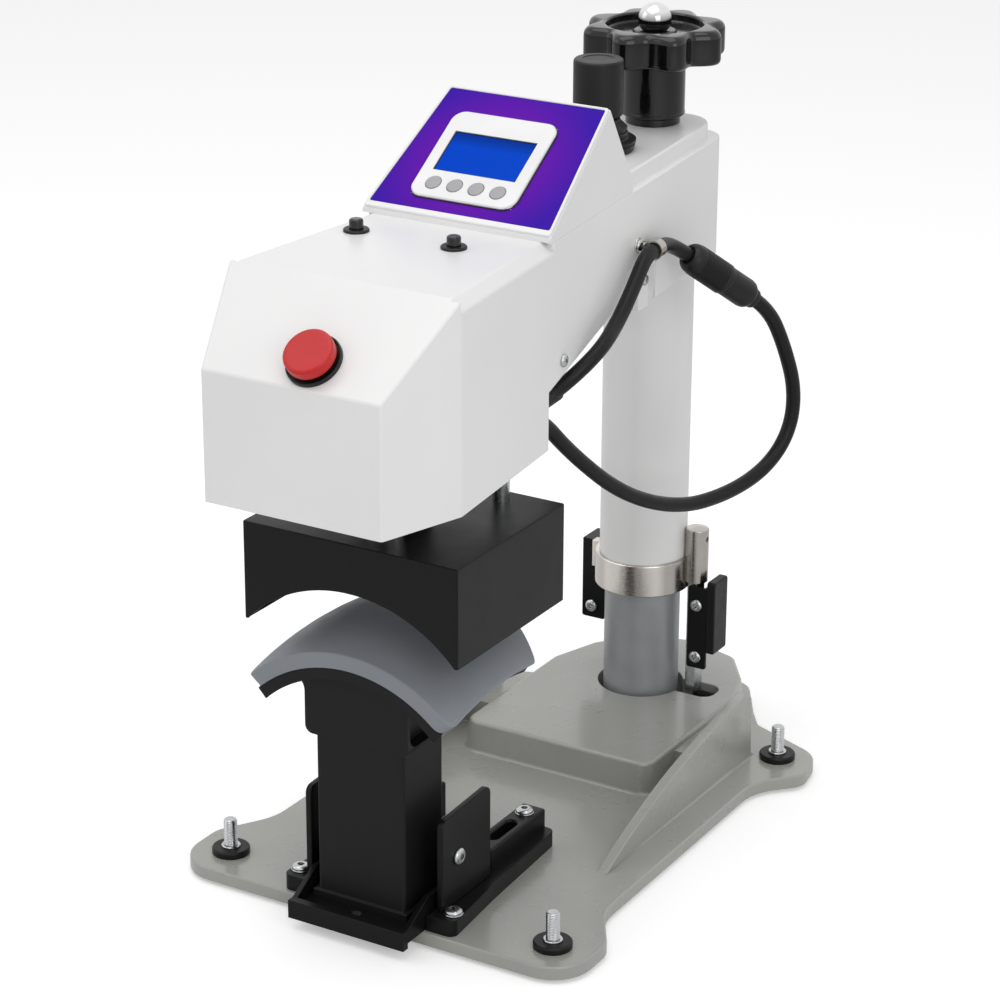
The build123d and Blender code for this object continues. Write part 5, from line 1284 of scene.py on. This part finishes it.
@dataclass
class ControlFace(Assembly):
    """Sloping control face: film with its raised rim, controller and keys."""

    foot: Spot = (0.0, -282.6, 487.8)
    tilt: float = 33.4
    length: float = 119.0
    foot_half: float = 75.07
    top_half: float = 64.64
    inset: Pair = (3.0, 5.5)
    bezel: Pair = (-4.0, 55.0)
    window: Pair = (-4.0, 57.5)
    window_half: Pair = (33.0, 18.5)
    keys: Sequence[float] = (-30.3, -13.2, 3.9, 21.2)
    key_row: float = 27.5

    def place(self, x: float = 0.0, up: float = 0.0) -> Matrix:
        """Placement on the face, a distance right of its middle and up from its foot."""
        lean = math.radians(self.tilt)
        spot = Vector(self.foot) + Vector((x, up * math.cos(lean), up * math.sin(lean)))
        return placed(spot, (0.0, -math.sin(lean), math.cos(lean)))

    def border(self, side: float, low: float, high: float, radius: float, out: float) -> list[Vector]:
        """Ring inside the face's edges with rounded corners.

        Args:
            side: Inset from the sides.
            low: Inset from the foot.
            high: Inset from the top.
            radius: Radius of the corners.
            out: Height over the face.

        Returns:
            The ring.
        """
        fall = (self.top_half - self.foot_half) / self.length
        end = self.length - high
        a, b = self.foot_half - side + fall * low, self.foot_half - side + fall * end
        return lifted(rounded_path([(-a, low), (a, low), (b, end), (-b, end)], radius, True, 6), out)

    def film(self) -> None:
        """White rim and the printed film that it frames."""
        side, low = self.inset
        rim = [(0.5, 0.5, 0.5, 2.6, 0.0), (0.5, 0.5, 0.5, 2.6, 1.2), (0.9, 0.9, 0.9, 2.4, 1.7),
               (side - 0.7, low - 0.7, side - 0.7, 1.6, 1.8),
               (side - 0.25, low - 0.25, side - 0.25, 1.3, 1.4),
               (side - 0.15, low - 0.15, side - 0.15, 1.3, 0.0)]
        frame_rings = [self.border(*row) for row in rim]
        self.take(Shape().hoop(frame_rings, self.place()), "panel_rim", "white_enamel")
        edges = [self.border(side + grow, low + grow, side + grow, 1.2, out)
                 for grow, out in ((0.0, 0.0), (0.0, 1.35), (0.2, 1.55), (0.8, 1.6))]
        below, above = (rounded_box((40.0, 38.0), 0.5, out, 6, self.bezel) for out in (0.0, 1.6))
        film = Shape().hoop([below, *edges, above], self.place())
        self.take(film, "panel_film", "purple_panel", "face_plate")

    def controller(self) -> None:
        """Bezel with a black rim round its foot as painted shadow, and the display with its gasket."""
        self.take(Shape.of_node("controller_bezel"), "bezel", "silver_plastic", "controller_bezel")
        # A thin black rim round the bezel's foot stands in for the shadow under it.
        painted_shadow_rim = [rounded_box((42.0 + grow, 40.0 + grow), 10.0 + grow, out, 10, self.bezel)
                for grow, out in ((-1.0, 1.62), (0.75, 1.62), (0.85, 1.9), (0.6, 2.15), (-1.0, 2.15))]
        self.take(Shape().hoop(painted_shadow_rim, self.place()), "bezel_painted_shadow", "black_plastic")
        a, b = self.window_half
        place = self.place(*self.window)
        glass = [rounded_box((a - inset, b - inset), 1.2, out)
                 for inset, out in ((0.7, 1.7), (0.7, 3.0), (0.95, 3.2))]
        self.take(Shape().loft(glass, place), "display", "blue_display", "display_window")
        gasket = [rounded_box((a - inset, b - inset), 1.2, out)
                  for inset, out in ((0.05, 1.7), (0.05, 3.35), (0.25, 3.5), (0.6, 3.35), (0.65, 1.7))]
        self.take(Shape().hoop(gasket, place), "display_gasket", "black_plastic")

    def build(self) -> None:
        """Builds the control face."""
        self.film()
        self.controller()
        profile = [(6.8, 0.45), (6.9, 0.6), (6.9, 1.3), (5.7, 1.35), (5.7, 4.15), (5.5, 4.5), (5.0, 4.72),
                   (3.0, 4.78), (1.0, 4.79)]
        for n, x in enumerate(self.keys, start=1):
            key = Shape().lathe(profile, self.place(x, self.key_row), 48)
            self.take(key, f"key_cap_{n}", "grey_key", f"key_{n}", body=Body[f"KEY_{n}"])


@dataclass
class Buttons(Assembly):
    """Stop button on the slope and the two start buttons behind it."""

    stop: Pair = (9.0, 21.5)
    slope_foot: Spot = (0.0, -484.5, 429.0)
    slope: float = 40.46
    top: float = 484.0

    def build(self) -> None:
        """Builds the buttons."""
        lean = math.radians(self.slope)
        x, up = self.stop
        spot = Vector(self.slope_foot) + Vector((x, up * math.cos(lean), up * math.sin(lean)))
        place = placed(spot, (0.0, -math.sin(lean), math.cos(lean)))
        inverse = place.inverted()
        self.rounded("stop_body", "stop_collar", "black_plastic", 0.6, 3,
                     lambda at, aim: (inverse @ at).z > 2.9, 50.0)
        cap = [(6.9, -20.6), (6.95, -20.0), (6.95, 4.8), (16.6, 4.85), (17.2, 5.3), (17.4, 6.0),
               (17.4, 11.2), (17.2, 12.0), (16.7, 12.6), (15.9, 12.95), (14.8, 13.0), (12.0, 12.95),
               (8.0, 12.85), (3.0, 12.8)]
        self.take(Shape().lathe(cap, place, 96), "stop_mushroom", "red_plastic", "stop_cap", body=Body.STOP)
        self.rounded("start_bodies", "start_flanges", "black_plastic", 0.3, 2,
                     lambda at, aim: at.z > 485.5, 50.0)
        plunger = [(4.9, -15.4), (4.95, -15.0), (4.95, 7.2), (4.7, 8.1), (4.1, 8.7), (3.2, 8.95),
                   (2.2, 8.9), (1.0, 8.85)]
        for side, body, (x, y) in zip(("left", "right"), (Body.START_LEFT, Body.START_RIGHT), START_SPOTS):
            shape = Shape().lathe(plunger, placed((x, y, self.top)), 48)
            self.take(shape, f"start_plunger_{side}", "gloss_black", f"start_cap_{side}", body=body)


@dataclass
class PressureKnob(Assembly):
    """Star knob with its hub and ball, and the pressure regulator in front of it."""

    seat: float = 496.0
    outer: float = 54.5
    valley: float = 44.5
    lobes: int = 8
    low: float = 545.0
    high: float = 571.0
    ball: float = 12.5

    def star(self, inset: float, z: float, count: int = 192) -> list[Vector]:
        """Ring on the knob's lobed outline.

        Args:
            inset: Distance inside the outline.
            z: Height of the ring.
            count: Points in the ring.

        Returns:
            The ring.
        """
        ring = []
        for n in range(count):
            angle = 2.0 * math.pi * n / count
            lobe = (0.5 + 0.5 * math.cos(self.lobes * angle)) ** 0.9
            radius = self.valley + (self.outer - self.valley) * lobe - inset
            ring.append(Vector((radius * math.cos(angle), radius * math.sin(angle), z)))
        return ring

    def knob(self) -> None:
        """Star knob with the recess in its top, and the ball on it."""
        low, high, floor = self.low, self.high, self.high - 7.0
        rings = [circle(12.0, low + 0.6, 192), circle(24.2, low + 0.6, 192), circle(25.0, low, 192)]
        rings += [self.star(inset, z) for inset, z in (
            (5.5, low), (3.0, low + 0.25), (1.4, low + 1.0), (0.45, low + 2.2), (0.0, low + 4.2),
            (0.0, high - 6.5), (0.4, high - 4.4), (1.3, high - 2.6), (2.7, high - 1.2), (4.4, high - 0.35),
            (6.2, high))]
        rings += [circle(r, z, 192) for r, z in (
            (38.2, high), (37.0, high - 0.4), (36.2, high - 1.4), (35.9, floor + 1.2), (34.9, floor + 0.1),
            (18.0, floor), (16.4, floor + 0.2), (15.6, floor + 1.6), (14.4, floor + 2.2), (12.5, floor + 2.2),
            (10.0, floor + 1.0))]
        self.take(Shape().loft(rings), "star", "gloss_black", "star_knob", body=Body.KNOB)
        turns = [math.radians(-58.0 + 147.0 * n / 28) for n in range(29)]
        profile = [(self.ball * math.cos(a), high + 2.5 + self.ball * math.sin(a)) for a in turns]
        self.take(Shape().lathe(profile, None, 96), "ball", "chrome", "knob_ball", body=Body.KNOB)

    def build(self) -> None:
        """Builds knob, hub and regulator."""
        self.knob()
        hub = [(8.2, 0.0), (20.1, 0.0), (20.5, 0.5), (20.5, 5.2), (20.1, 5.7), (20.4, 6.1), (23.3, 6.4),
               (24.0, 7.2), (24.0, 9.0), (23.75, 9.3), (23.75, 47.0), (23.2, 48.1), (22.2, 48.6),
               (8.2, 48.6)]
        rings = [circle(r, z, 96) for r, z in hub]
        self.take(Shape().hoop(rings, placed((0.0, 0.0, self.seat))), "hub", "gloss_black", "knob_hub")
        place = placed((*REGULATOR_SPOT, self.seat))
        body = [(25.8, 0.0), (26.4, 0.6), (27.4, 4.6), (27.4, 5.2), (26.8, 5.5), (26.8, 6.1), (28.0, 6.6),
                (28.0, 8.5), (27.3, 9.0), (22.6, 9.3), (22.0, 10.0), (22.0, 13.4), (21.5, 14.1),
                (20.6, 14.3), (20.6, 15.1), (21.4, 15.5), (21.4, 17.2), (20.7, 17.9), (17.0, 21.4),
                (16.2, 22.3), (16.2, 23.6), (15.4, 24.0), (12.45, 24.0), (12.45, 49.0)]
        self.take(Shape().lathe(body, place, 96), "regulator_neck", "black_plastic", "regulator_body")
        cap = [(12.6, 49.4), (12.6, 26.2), (17.3, 26.1), (18.1, 26.6), (18.3, 27.5), (18.3, 64.6),
               (18.0, 66.0), (17.2, 66.8), (16.2, 67.0), (11.8, 67.0), (11.5, 66.6), (11.2, 66.5),
               (6.0, 66.5), (2.0, 66.45)]
        self.take(Shape().lathe(cap, place, 96), "regulator_cap", "black_plastic", "regulator_knob",
                  body=Body.REGULATOR)


@dataclass
class SleeveParts(Assembly):
    """Sleeve, clamp ring, guide rod, stops and the screws of the head."""

    bracket_screws: Sequence[Spot] = ((49.0, -1.0, 113.0), (49.0, -1.0, 69.0), (-50.0, 8.0, 88.0))
    flank_screws: Sequence[tuple[Pair, Pair]] = (((-260.0, 395.0), (0.0, 2.9)), ((-130.0, 441.5), (1.2, 2.2)))
    flank: Spot = (89.5, -420.0, 0.105)
    saddle: Spot = (50.0, -102.0, 407.0)

    def screws(self) -> None:
        """All the screws that hold parts to the head."""
        shape = Shape()
        for spot in self.bracket_screws:
            SocketScrew().add_to(shape, placed(spot, (0.0, -1.0, 0.0)))
        half, crease, taper = self.flank
        for (y, z), (seat, height) in self.flank_screws:
            place = placed((half - taper * (y - crease), y, z), (1.0, taper, 0.0), (0.0, 1.0, 0.0))
            SocketScrew(4.7, height, 2.8, 1.2).add_to(shape, place, seat)
        x, y, z = self.saddle
        for side in (-1.0, 1.0):
            SocketScrew(4.2, 2.6, 2.4, 1.2).add_to(shape, placed((side * x, y, z), (side, 0.0, 0.0)))
        self.take(shape, "head_fasteners", "zinc_steel", "head_screws")

    def build(self) -> None:
        """Builds the pieces on the sleeve and the smaller ones of the head."""
        for node, name, slot, width, angle in (
            ("outer_sleeve", "sliding_sleeve", "white_enamel", 0.5, 50.0),
            ("clamp_ring", "clamp", "nickel", 0.35, 50.0),
            ("guide_rod", "hexagon_rod", "zinc_steel", 0.5, 40.0),
            ("stop_angle", "stop_bracket", "black_enamel", 0.7, 50.0),
            ("stop_pad", "bumper", "black_rubber", 0.6, 35.0),
            ("switch_bracket", "switch_plate", "black_enamel", 0.5, 50.0),
            ("position_switch", "switch", "black_plastic", 0.2, 50.0),
            ("lead_clip", "clip", "nickel", 0.25, 50.0),
            ("power_inlet", "inlet", "black_plastic", 0.4, 50.0),
        ):
            self.rounded(node, name, slot, width, angle=angle)
        self.screws()


def dress_nodes(palette: Palette) -> None:
    """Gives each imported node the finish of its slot.

    Args:
        palette: Materials by slot.
    """
    for part in frame["record"]["subparts"]:
        node = frame["nodes"][part["node"]]
        node.data.materials.clear()
        node.data.materials.append(palette.get(part["material_slot"]))
        log.info("%s takes %s", part["node"], part["material_slot"])


def main() -> None:
    """Builds the studio and the press, sub-assembly by sub-assembly."""
    logging.basicConfig(level=logging.INFO, format="%(name)s: %(message)s")
    Studio().build()
    palette = Palette()
    HeaterLead(palette).build()
    dress_nodes(palette)
    for kind in (Feet, Base, Sled, Pad, HeatedPlaten, Head, ControlFace, Buttons, PressureKnob, SleeveParts):
        kind(palette).build()


if __name__ == "__main__":
    main()
